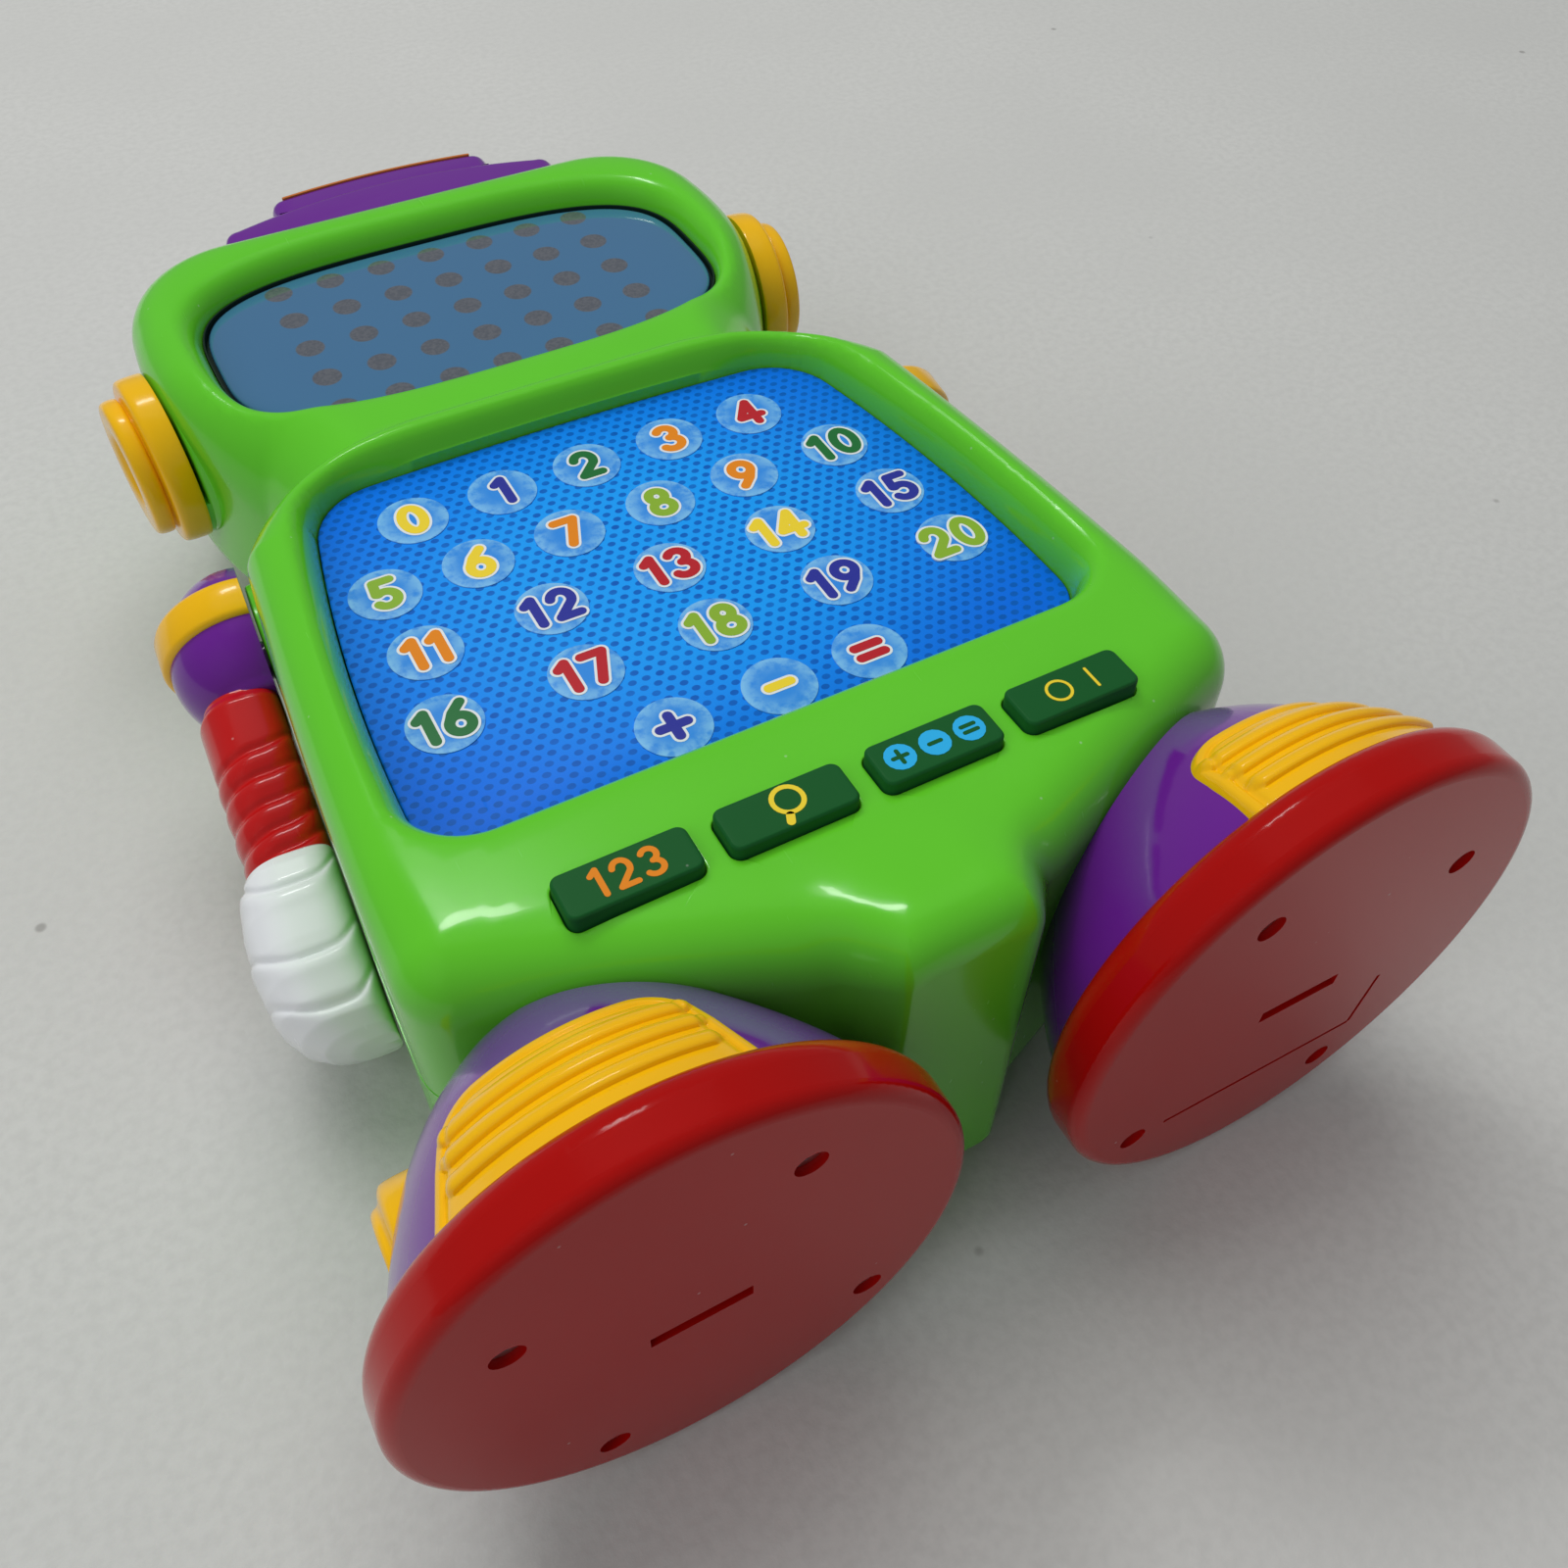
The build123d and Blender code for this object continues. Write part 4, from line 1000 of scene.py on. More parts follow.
    def _spread(self, outline: Outline) -> np.ndarray:
        """Points of the face: close rings along every edge, and an even lattice between them.

        Args:
            outline: Outline of the whole shell.

        Returns:
            The points in plan.
        """
        points = []
        for step in self.ring_steps:
            ring = offset_outline(outline, -step)
            points.append(ring[np.abs(distance_inside(ring, outline) - step) < 0.12])
        for hole in (self._window, self._panel):
            points += [offset_outline(hole, step) for step in self.hole_steps]
        for hole in self._holes:
            points += [offset_outline(hole, step) for step in self.button_steps]
        xs = np.arange(-76, 76.1, self.grid)
        ys = np.arange(-130, 131, self.grid * 0.866)
        lattice = np.array([[x + (k % 2) * self.grid / 2, y] for k, y in enumerate(ys) for x in xs])
        clear = distance_inside(lattice, outline) > self.ring_steps[-1] + 1.4
        for hole in (self._window, self._panel):
            clear &= distance_inside(lattice, hole) < -(self.hole_steps[-1] + 1.3)
        for hole in self._holes:
            clear &= distance_inside(lattice, hole) < -2.4
        return np.vstack([*points, lattice[clear]])

    def _walls(self, mesh: bpy.types.Mesh) -> None:
        """Gives the face its side walls, down to the part line and to the floors of its openings."""
        bm = bmesh.new()
        bm.from_mesh(mesh)
        for f in bm.faces:
            if f.normal.z < 0:
                f.normal_flip()
        border = [e for e in bm.edges if len(e.link_faces) == 1]
        made = bmesh.ops.extrude_edge_only(bm, edges=border)["geom"]
        fresh = [v for v in made if isinstance(v, bmesh.types.BMVert)]
        plan = np.array([(v.co.x, v.co.y) for v in fresh]) / MM
        floor = np.full(len(fresh), PART_LINE)
        floors = [(self._window, self.window_floor), (self._panel, self.panel_floor)]
        for loop, level in [*floors, *((hole, self.button_floor) for hole in self._holes)]:
            floor[np.abs(distance_inside(plan, loop)) < 0.05] = level
        for vertex, level in zip(fresh, floor):
            vertex.co.z = level * MM
        bmesh.ops.recalc_face_normals(bm, faces=bm.faces)
        top = max(bm.faces, key=lambda f: f.calc_center_median().z)
        if top.normal.z < 0:
            bmesh.ops.reverse_faces(bm, faces=bm.faces)
        bm.to_mesh(mesh)
        bm.free()
        mesh.shade_smooth()
        mesh.set_sharp_from_angle(angle=math.radians(45))

    def _seats(self, paint: Paintbox) -> list[Piece]:
        """Builds the round seats that the ears and the shoulders bear on."""
        seats = []
        for label, side in SIDES.items():
            for name, profile, axis, tilt in (
                ("ear_seat", self.ear_seat, EAR_AXIS, EAR_TILT),
                ("shoulder_boss", self.shoulder_boss, (SHOULDER_Y, PART_LINE), -ARM_SPLAY),
            ):
                points, faces = spin(soften(profile, 1), *axis, side, SEAT_STEPS, tilt)
                seats.append(mesh_piece(f"{name}_{label}", points, faces, paint.get(Finish.GREEN)))
                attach(seats[-1], "robot")
        return seats


def spin(profile: Profile, y: float, z: float, side: int, count: int, tilt: float = 0.0) -> Skin:
    """Turns a profile round an axis that runs out of the body's side.

    Args:
        profile: Distances from the mid-plane and radii.
        y: Place of the axis.
        z: Height of the axis.
        side: Side of the body.
        count: Number of steps round the axis.
        tilt: Lean of the axis towards the feet, in degrees.

    Returns:
        The points and faces.
    """
    angle = full_turn(count)
    lean = math.radians(tilt)
    rings = []
    for x, radius in profile:
        radius = max(radius, 0.02)
        out, away = x - SEAT_X, radius * np.cos(angle)
        across = SEAT_X + out * math.cos(lean) + away * math.sin(lean)
        along = y + away * math.cos(lean) - out * math.sin(lean)
        rings.append(np.column_stack([side * across, along, z + radius * np.sin(angle)]))
    return loft(rings)


def soften(profile: Profile, times: int = 2) -> Path:
    """Cuts the corners of an open profile so that its edges are rounded."""
    points = np.array(profile, float)
    for _ in range(times):
        low = points[:-1] * 0.75 + points[1:] * 0.25
        high = points[:-1] * 0.25 + points[1:] * 0.75
        points = np.vstack([points[:1], np.stack([low, high], 1).reshape(-1, 2)[1:-1], points[-1:]])
    return [tuple(p) for p in points]


# --------------------------------------------------------------------------- display and number panel
@dataclass
class Display:
    """Tinted window of the head."""

    inset: float = 1.2
    profile: Profile = (
        (0.0, 62.9), (0.0, 63.9), (0.2, 64.25), (0.7, 64.45), (1.8, 64.55), (3.4, 64.6), (5.5, 64.6),
    )
    seat_shadow_section: Profile = (
        (0.5, 62.1), (0.5, 62.75), (-0.04, 62.75), (-0.04, 64.6), (-0.4, 64.6), (-0.4, 62.75),
        (-6.0, 62.75), (-6.0, 62.1),
    )

    def build(self, shell: FrontShell, paint: Paintbox) -> list[Piece]:
        """Builds the lens and the dark seat round it, whose colour paints the shadow in the gap between the
        lens and the rim.
        """
        window = shell.window()
        points, faces = stepped(offset_outline(window, -self.inset), self.profile)
        lens = mesh_piece("window_lens", points, faces, paint.get(Finish.LENS), 60)
        stand_for(lens, "display_window", "robot")
        # The seat's ring stands in the gap round the lens; its dark colour paints the shadow that falls
        # there.
        rings = [flat_ring(offset_outline(window, out), level) for out, level in self.seat_shadow_section]
        points, faces = loft([*rings, rings[0]], False, False)
        seat = mesh_piece("window_seat_shadow", points, faces, paint.get(Finish.DARK_GAP), 30)
        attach(seat, "robot")
        return [lens, seat]


class Strokes:
    """Round-ended figures drawn with a broad pen; heights run from 0 to 1."""

    @staticmethod
    def arc(cx: float, cy: float, rx: float, ry: float, start: float, end: float) -> Path:
        """Points on an elliptical arc, angles in degrees."""
        steps = max(6, int(abs(end - start) / 15))
        angles = np.radians(np.linspace(start, end, steps + 1))
        return [(cx + rx * math.cos(a), cy + ry * math.sin(a)) for a in angles]

    @classmethod
    def glyph(cls, sign: str) -> tuple[list[Path], float]:
        """Pen paths of a figure, and its width.

        Args:
            sign: A digit or a sign of arithmetic.

        Returns:
            The paths, and how far the next figure stands.
        """
        arc = cls.arc
        table: dict[str, tuple[list[Path], float]] = {
            "0": ([arc(0.27, 0.5, 0.22, 0.38, 0, 360)], 0.74),
            "1": ([[(0.03, 0.74), (0.20, 0.88), (0.20, 0.12)]], 0.50),
            "2": ([[*arc(0.27, 0.64, 0.21, 0.24, 165, -35), (0.08, 0.13), (0.50, 0.13)]], 0.74),
            "3": (
                [[*arc(0.25, 0.69, 0.19, 0.19, 150, -80)], [*arc(0.25, 0.31, 0.22, 0.20, 80, -150)]], 0.72,
            ),
            "4": ([[(0.36, 0.12), (0.36, 0.88), (0.03, 0.36), (0.53, 0.36)]], 0.76),
            "5": (
                [[(0.46, 0.87), (0.12, 0.87), (0.09, 0.52), *arc(0.25, 0.33, 0.22, 0.22, 125, -150)]], 0.72,
            ),
            "6": ([[(0.42, 0.88), (0.20, 0.66), *arc(0.26, 0.34, 0.21, 0.22, 160, 520)]], 0.74),
            "7": ([[(0.05, 0.87), (0.48, 0.87), (0.20, 0.12)]], 0.70),
            "8": ([arc(0.26, 0.69, 0.17, 0.18, 0, 360), arc(0.26, 0.31, 0.21, 0.20, 0, 360)], 0.74),
            "9": ([[(0.12, 0.12), (0.34, 0.34), *arc(0.28, 0.66, 0.21, 0.22, -20, 340)]], 0.74),
            "+": ([[(0.28, 0.22), (0.28, 0.78)], [(0.0, 0.5), (0.56, 0.5)]], 0.7),
            "-": ([[(0.04, 0.5), (0.50, 0.5)]], 0.7),
            "=": ([[(0.02, 0.64), (0.54, 0.64)], [(0.02, 0.36), (0.54, 0.36)]], 0.7),
        }
        return table[sign]

    @staticmethod
    def sheet(paths: Sequence[Profile], radius: float) -> Skin:
        """Flat area swept by a round pen.

        Args:
            paths: Pen paths.
            radius: Radius of the pen.

        Returns:
            The points and triangles of the area, without overlaps.
        """
        points: list[Vector] = []
        faces: list[list[int]] = []
        for path in paths:
            for (ax, ay), (bx, by) in zip(path, path[1:]):
                heading = math.atan2(by - ay, bx - ax)
                ring = []
                for centre, first in (((bx, by), heading - math.pi / 2), ((ax, ay), heading + math.pi / 2)):
                    for k in range(9):
                        angle = first + math.pi * k / 8
                        ring.append(
                            (centre[0] + radius * math.cos(angle), centre[1] + radius * math.sin(angle))
                        )
                start = len(points)
                points += [Vector(p) for p in ring]
                faces.append(list(range(start, start + len(ring))))
        made = delaunay_2d_cdt(points, [], faces, 1, 1e-4)
        where = np.array([tuple(v) for v in made[0]])
        runs = np.array([(*a, *b) for path in paths for a, b in zip(path, path[1:])], float)
        kept = []
        for face in made[2]:
            away = where[list(face)].mean(0) - runs[:, :2]
            way = runs[:, 2:] - runs[:, :2]
            share = np.clip((away * way).sum(1) / np.maximum((way**2).sum(1), 1e-12), 0, 1)
            if np.hypot(*(away - share[:, None] * way).T).min() < radius:
                kept.append(list(face))
        return where, kept

    @classmethod
    def word(cls, text: str, height: float, centre: Sequence[float]) -> list[Path]:
        """Pen paths of a number, centred on a point.

        Args:
            text: The figures.
            height: Height of the figures.
            centre: Where their middle stands.

        Returns:
            The paths in millimetres.
        """
        paths: list[Path] = []
        reach = 0.0
        for sign in text:
            drawn, step = cls.glyph(sign)
            paths += [[(reach + x, y) for x, y in path] for path in drawn]
            reach += step
        xs = [x for path in paths for x, _ in path]
        middle = (min(xs) + max(xs)) / 2
        cx, cy = centre
        return [[(cx + (x - middle) * height, cy + (y - 0.5) * height) for x, y in path] for path in paths]


def print_piece(
    name: str, paths: Sequence[Profile], pen: float, low: float, high: float, material: Material,
) -> Piece:
    """Makes a thin raised print from pen paths.

    Args:
        name: Name of the piece.
        paths: Pen paths in millimetres.
        pen: Radius of the pen.
        low: Height of the underside.
        high: Height of the face.
        material: Its finish.

    Returns:
        The piece.
    """
    plan, triangles = Strokes.sheet(paths, pen)
    count = len(plan)
    points = np.vstack([flat_ring(plan, high), flat_ring(plan, low)])
    faces = [list(t) for t in triangles] + [[i + count for i in t][::-1] for t in triangles]
    edges = dict.fromkeys((a, b) for t in triangles for a, b in zip(t, [*t[1:], t[0]]))
    faces += [[b, a, a + count, b + count] for a, b in edges if (b, a) not in edges]
    return mesh_piece(name, points, faces, material, 30)


@dataclass
class NumberPanel:
    """Printed touch panel with its numbers and signs."""

    top: float = 68.1
    figure_height: float = 9.3
    pen: float = 0.105
    outline_width: float = 0.5
    bubble_radius: float = 6.9
    bubble_height: float = 0.35
    rows: tuple[tuple[float, str, str, tuple[float, ...]], ...] = (
        (9.75, "0 1 2 3 4", "yellow blue green orange red", (-38.1, -19.5, -1.2, 17.4, 36.1)),
        (
            -8.0, "5 6 7 8 9 10", "lime yellow orange lime orange green",
            (-49.8, -31.4, -12.6, 6.9, 25.7, 46.8),
        ),
        (-26.1, "11 12 13 14 15", "orange blue red yellow blue", (-48.4, -24.0, 0.2, 24.1, 49.2)),
        (-44.1, "16 17 18 19 20", "green red lime blue lime", (-51.4, -25.0, 0.8, 26.5, 52.5)),
        (-63.3, "+ - =", "blue yellow red", (-17.0, 3.7, 22.2)),
    )

    def figures(self) -> list[tuple[str, str, float, float]]:
        """Text, ink and place of every figure."""
        return [
            (sign, ink, x, y)
            for y, signs, inks, places in self.rows
            for sign, ink, x in zip(signs.split(), inks.split(), places)
        ]

    def build(self, shell: FrontShell, paint: Paintbox) -> list[Piece]:
        """Builds the film, its bubbles and its figures."""
        edge = offset_outline(shell.panel(), -0.2)
        profile = ((0.0, 66.9), (0.0, 67.8), (0.12, 68.0), (0.4, self.top))
        points, faces = stepped(edge, profile)
        film = mesh_piece("panel_film", points, faces, paint.get(Finish.PRINT), 50)
        stand_for(film, "number_panel", "robot")
        pieces = [film, self._bubbles(paint)]
        groups: dict[str, list] = {}
        everything = []
        for sign, ink, x, y in self.figures():
            paths = Strokes.word(sign, self.figure_height, (x, y))
            groups.setdefault(ink, []).extend(paths)
            everything.extend(paths)
        base = self.top + self.bubble_height
        low = base - 0.3
        pen = self.pen * self.figure_height
        white = paint.get(Finish.INK_WHITE)
        pieces.append(
            print_piece("figure_borders", everything, pen + self.outline_width, low, base + 0.05, white)
        )
        for ink, paths in groups.items():
            finish = paint.get(Finish[f"INK_{ink.upper()}"])
            pieces.append(print_piece(f"figures_{ink}", paths, pen, low, base + 0.1, finish))
        for piece in pieces[1:]:
            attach(piece, "robot")
        return pieces

    def _bubbles(self, paint: Paintbox) -> Piece:
        """Sets a bubble under each figure with Geometry Nodes."""
        spots = [(x, y, self.top) for _, _, x, y in self.figures()]
        bubbles = BubbleField(self.bubble_radius, self.bubble_height)
        return bubbles.make("touch_bubbles", spots, paint.get(Finish.BUBBLE))


@dataclass
class BubbleField:
    """Geometry Nodes tree that sets a low round disc at each given point."""

    radius: float
    height: float
    steps: int = 48

    def tree(self) -> Tree:
        """Builds the tree."""
        tree, wire, source, result = new_group(
            "bubble_field",
            (
                ("Points", "NodeSocketGeometry", None),
                ("Radius", "NodeSocketFloat", 0.005),
                ("Height", "NodeSocketFloat", 0.0003),
                ("Steps", "NodeSocketInt", 48),
                ("Finish", "NodeSocketMaterial", None),
            ),
            (("Geometry", "NodeSocketGeometry"),),
            "GeometryNodeTree",
        )
        disc = wire.add(
            "GeometryNodeMeshCylinder",
            {
                "Vertices": source.outputs["Steps"], "Fill Segments": 8, "Radius": source.outputs["Radius"],
                "Depth": source.outputs["Height"],
            },
            fill_type="TRIANGLE_FAN",
        )
        where = wire.add("GeometryNodeInputPosition").outputs[0]
        flat = wire.add(
            "ShaderNodeVectorMath", {0: where, 1: (1.0, 1.0, 0.0)}, operation="MULTIPLY",
        ).outputs[0]
        length = wire.add("ShaderNodeVectorMath", {0: flat}, operation="LENGTH").outputs["Value"]
        reach = wire.math("DIVIDE", length, source.outputs["Radius"])
        store = {"Geometry": disc.outputs[0], "Name": "reach", "Value": reach}
        stored = wire.add("GeometryNodeStoreNamedAttribute", store, data_type="FLOAT", domain="POINT")
        share = wire.math("POWER", reach, 6.0)
        sink = wire.math("MULTIPLY", wire.math("MULTIPLY", share, source.outputs["Height"]), -0.45)
        up = wire.math("GREATER_THAN", wire.add("ShaderNodeSeparateXYZ", {0: where}).outputs[2], 0.0)
        move = wire.add("ShaderNodeCombineXYZ", {2: wire.math("MULTIPLY", sink, up)}).outputs[0]
        shaped = wire.add("GeometryNodeSetPosition", {"Geometry": stored.outputs[0], "Offset": move})
        placed = wire.add(
            "GeometryNodeInstanceOnPoints",
            {"Points": source.outputs["Points"], "Instance": shaped.outputs[0]},
        )
        real = wire.add("GeometryNodeRealizeInstances", {0: placed.outputs[0]})
        done = wire.add(
            "GeometryNodeSetMaterial", {"Geometry": real.outputs[0], "Material": source.outputs["Finish"]},
        )
        tree.links.new(done.outputs[0], result.inputs[0])
        return tree

    def make(self, name: str, spots: Sequence[tuple[float, float, float]], material: Material) -> Piece:
        """Makes the discs at the given points, which are the middles of their undersides."""
        at = np.array(spots, float) + np.array([0, 0, self.height / 2])
        values = {
            "Radius": self.radius * MM, "Height": self.height * MM, "Steps": self.steps, "Finish": material,
        }
        return grow(name, at, self.tree(), values, material)


def grow(name: str, points: np.ndarray, tree: Tree, values: dict[str, object], material: Material) -> Piece:
    """Runs a Geometry Nodes tree on points and keeps the result as a plain mesh.

    Args:
        name: Name of the piece.
        points: Points in millimetres.
        tree: The tree.
        values: Its inputs by name.
        material: The finish of the result.

    Returns:
        The piece.
    """
    seed = bpy.data.meshes.new(name + "_seed")
    seed.from_pydata([tuple(p) for p in np.asarray(points, float) * MM], [], [])
    holder = bpy.data.objects.new(name + "_seed", seed)
    bpy.context.scene.collection.objects.link(holder)
    modifier = holder.modifiers.new("grow", "NODES")
    modifier.node_group = tree
    for item in tree.interface.items_tree:
        if item.item_type == "SOCKET" and item.in_out == "INPUT" and item.name in values:
            modifier[item.identifier] = values[item.name]
    bpy.context.view_layer.update()
    graph = bpy.context.evaluated_depsgraph_get()
    mesh = bpy.data.meshes.new_from_object(holder.evaluated_get(graph))
    holder.modifiers.clear()
    bpy.data.objects.remove(holder)
    mesh.name = name
    mesh.shade_smooth()
    mesh.set_sharp_from_angle(angle=math.radians(40))
    if not mesh.materials:
        mesh.materials.append(material)
    piece = bpy.data.objects.new(name, mesh)
    bpy.context.scene.collection.objects.link(piece)
    return piece


# --------------------------------------------------------------------------- push buttons
class Sign(Enum):
    """What is printed on a push button."""

    COUNT = "count_button"
    SEARCH = "search_button"
    SUMS = "sums_button"
    POWER = "power_button"


@dataclass
class PushButtons:
    """The four push buttons and their prints."""

    x: tuple[float, ...]
    y: float
    width: float = 22.3
    depth: float = 8.9
    corner: float = 1.7
    top: float = 81.2
    profile: Profile = (
        (0.0, 74.6), (0.0, 80.7), (0.05, 80.82), (0.32, 81.12), (0.42, 81.18), (0.6, 81.2), (1.3, 81.2),
    )

    def build(self, paint: Paintbox) -> list[Piece]:
        """Builds each button and its print on the button's own body."""
        pieces = []
        for sign, x in zip(Sign, self.x):
            edge = resample(rounded_rectangle(self.width, self.depth, self.corner, (x, self.y)), 0.35)
            points, faces = stepped(edge, self.profile)
            cap = mesh_piece(f"{sign.value}_cap", points, faces, paint.get(Finish.DARK_GREEN), 50)
            pieces.append(stand_for(cap, sign.value, sign.value))
            for piece in self._print(sign, x, paint):
                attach(piece, sign.value)
                pieces.append(piece)
        return pieces

    def _print(self, sign: Sign, x: float, paint: Paintbox) -> list[Piece]:
        """Print of one button."""
        low, high = self.top - 0.2, self.top + 0.06
        if sign is Sign.COUNT:
            paths = Strokes.word("123", 6.4, (x, self.y))
            return [print_piece("count_print", paths, 0.5, low, high, paint.get(Finish.INK_ORANGE))]
        if sign is Sign.SEARCH:
            glass = [Strokes.arc(x + 0.6, self.y + 0.8, 2.55, 2.55, 0, 360)]
            handle = [[(x - 0.5, self.y - 2.1), (x - 1.0, self.y - 3.3)]]
            return [
                print_piece("search_ring_print", glass, 0.42, low, high, paint.get(Finish.INK_YELLOW)),
                print_piece("search_handle_print", handle, 0.7, low, high, paint.get(Finish.INK_YELLOW)),
            ]
        if sign is Sign.SUMS:
            pieces = []
            cyan, green = paint.get(Finish.INK_CYAN), paint.get(Finish.DARK_GREEN)
            for shift, mark, name in ((-6.5, "+", "plus"), (0.0, "-", "minus"), (6.5, "=", "equals")):
                dot = [[(x + shift, self.y), (x + shift + 0.01, self.y)]]
                pieces.append(
                    print_piece(f"sums_disc_{shift:.0f}".replace("-", "m"), dot, 2.7, low, high, cyan)
                )
                paths = Strokes.word(mark, 4.6, (x + shift, self.y))
                pieces.append(print_piece(f"sums_{name}_print", paths, 0.38, low, high + 0.05, green))
            return pieces
        ring = [Strokes.arc(x - 2.6, self.y, 2.15, 2.15, 0, 360)]
        bar = [[(x + 4.0, self.y - 2.1), (x + 4.0, self.y + 2.1)]]
        return [print_piece("power_print", ring + bar, 0.26, low, high, paint.get(Finish.INK_YELLOW))]


# --------------------------------------------------------------------------- ears and arms
@dataclass
class Ears:
    """Yellow ears: a flange, a groove and an outer ring."""

    seat: float = 72.4
    profile: Profile = (
        (-9.0, 5.9), (0.0, 5.9), (0.0, 18.7), (0.6, 19.0), (5.6, 18.9), (6.6, 17.9), (6.7, 15.0),
        (7.0, 14.6),
        (7.4, 15.6), (10.6, 15.4), (11.4, 14.2), (11.4, 8.6), (9.6, 7.0), (9.4, 0.0),
    )

    def build(self, paint: Paintbox) -> list[Piece]:
        """Builds both ears."""
        pieces = []
        for label, side in SIDES.items():
            profile = [(self.seat + out, radius) for out, radius in soften(self.profile, 2)]
            points, faces = spin(profile, *EAR_AXIS, side, TURN_STEPS, EAR_TILT)
            ear = mesh_piece(f"ear_ring_{label}", points, faces, paint.get(Finish.YELLOW), 50)
            pieces.append(stand_for(ear, f"ear_{label}", "robot"))
        return pieces


def crease(away: np.ndarray, width: float, roll: float, roll_at: float, roll_width: float) -> np.ndarray:
    """Depth of a crease at a distance from its middle, with a soft roll beyond it.

    Args:
        away: Distances from the middle of the crease.
        width: Its width.
        roll: Height of the roll as a share of the depth.
        roll_at: Distance of the roll.
        roll_width: Width of the roll.

    Returns:
        The depths, from 0 to 1; the roll's are below 0.
    """
    return np.exp(-((away / width) ** 2)) - roll * np.exp(-(((away - roll_at) / roll_width) ** 2))


@dataclass
class Arms:
    """Shoulder balls with their bands, sleeves with rolled folds, and padded gloves."""

    ball_radius: float = 16.2
    ball_out: float = 2.3
    ball_stretch: float = 1.3
    band: tuple[float, float, float] = (17.4, -9.4, -1.0)
    sleeve_start: float = 11.5
    sleeve_end: float = 48.0
    sleeve_low: tuple[float, float] = (7.6, 10.9)
    sleeve_high: tuple[float, float] = (8.25, 11.8)
    folds: tuple[float, ...] = (0.34, 0.50, 0.66, 0.80, 0.93)
    fold_slant: tuple[float, float] = (0.055, 0.035)
    fold_depth: float = 0.055
    fold: tuple[float, float, float, float] = (0.9, 0.5, 2.4, 1.6)
    glove_outline: tuple[tuple[float, float, float], ...] = (
        (0.0, 8.3, 12.0), (0.6, 8.75, 13.0), (2.5, 9.3, 14.2), (6.0, 9.8, 15.1), (11.0, 10.2, 15.8),
        (18.0, 10.35, 16.0),
        (24.0, 10.1, 15.5), (29.0, 9.5, 14.3), (33.0, 8.3, 12.2), (35.5, 6.6, 9.2), (36.9, 4.4, 5.8),
        (37.4, 1.6, 2.0),
    )
    grooves: tuple[float, ...] = (3.4, 17.4, 26.8)
    groove_depth: float = 0.8
    groove_bow: float = 6.5
    groove: tuple[float, float, float, float] = (0.7, 0.4, 2.2, 1.9)
    inner_power: float = 4.5
    outer_power: float = 2.25

    def oval(
        self, frame: ArmFrame, along: float, width: float, height: float, share: np.ndarray,
    ) -> np.ndarray:
        """Oval ring across the arm that bears on its inner plane.

        Args:
            frame: The arm's frame.
            along: Distance along the arm.
            width: Half width.
            height: Half height.
            share: Scale of the radius for each point.

        Returns:
            The ring.
        """
        angle = full_turn(ARM_STEPS)
        c, s = np.cos(angle), np.sin(angle)
        power = np.where(c < 0, self.inner_power, self.outer_power)
        out = width + width * np.sign(c) * np.abs(c) ** (2 / power) * np.where(c < 0, 1.0, share)
        up = height * np.sign(s) * np.abs(s) ** (2 / power) * share
        return frame.place(out, up, np.full(out.shape, along))

    def turned(self, name: str, frame: ArmFrame, profile: Profile, finish: Material, closed: bool) -> Piece:
        """Turns a profile about the arm's axis and cuts it off at the arm's inner plane.

        Args:
            name: Name of the piece.
            frame: The arm's frame.
            profile: Distances along the arm and radii.
            finish: Its material.
            closed: Whether the profile is a closed loop.

        Returns:
            The piece.
        """
        angle = full_turn(TURN_STEPS)
        rings = []
        for along, radius in profile:
            radius = max(radius, 0.02)
            out, up = self.ball_out + radius * np.cos(angle), radius * np.sin(angle)
            rings.append(frame.place(out, up, np.full(TURN_STEPS, along)))
        if closed:
            rings.append(rings[0])
        points, faces = loft(rings, not closed, not closed)
        piece = mesh_piece(name, points, faces, finish, 50)
        bm = bmesh.new()
        bm.from_mesh(piece.data)
        at = frame.place(np.array([0.05, 1.05]), np.zeros(2), np.zeros(2)) * MM
        way = Vector(at[1] - at[0])
        whole = [*bm.verts, *bm.edges, *bm.faces]
        cut = bmesh.ops.bisect_plane(bm, geom=whole, plane_co=at[0], plane_no=way, clear_inner=True)
        bmesh.ops.holes_fill(bm, edges=[e for e in cut["geom_cut"] if isinstance(e, bmesh.types.BMEdge)])
        bmesh.ops.recalc_face_normals(bm, faces=bm.faces)
        bm.to_mesh(piece.data)
        bm.free()
        piece.data.shade_smooth()
        piece.data.set_sharp_from_angle(angle=math.radians(50))
        return piece

    def shoulder(self, label: str, side: int, paint: Paintbox) -> list[Piece]:
        """Builds one shoulder ball and the band round it."""
        frame = ArmFrame(side)
        radius = self.ball_radius
        angles = np.linspace(math.pi, 0.82, 40)
        stretch = [self.ball_stretch if a > math.pi / 2 else 1.0 for a in angles]
        profile = [
            (radius * math.cos(a) * scale, radius * math.sin(a)) for a, scale in zip(angles, stretch)
        ]
        profile += [(self.sleeve_start + 0.6, 11.4), (self.sleeve_start + 1.2, 10.6)]
        ball = self.turned(f"shoulder_ball_{label}", frame, profile, paint.get(Finish.PURPLE), False)
        outer, low, high = self.band
        inner = radius * 0.9
        corner, bevel = 1.2, 0.35
        loop = [(low, inner), (low, outer - corner), (low + bevel, outer - bevel), (low + corner, outer)]
        loop += [
            (high - corner, outer), (high - bevel, outer - bevel), (high, outer - corner), (high, inner),
        ]
        band = self.turned(f"shoulder_ring_{label}", frame, loop, paint.get(Finish.YELLOW), True)
        stand_for(ball, f"shoulder_{label}", f"arm_{label}")
        stand_for(band, f"shoulder_band_{label}", f"arm_{label}")
        return [ball, band]

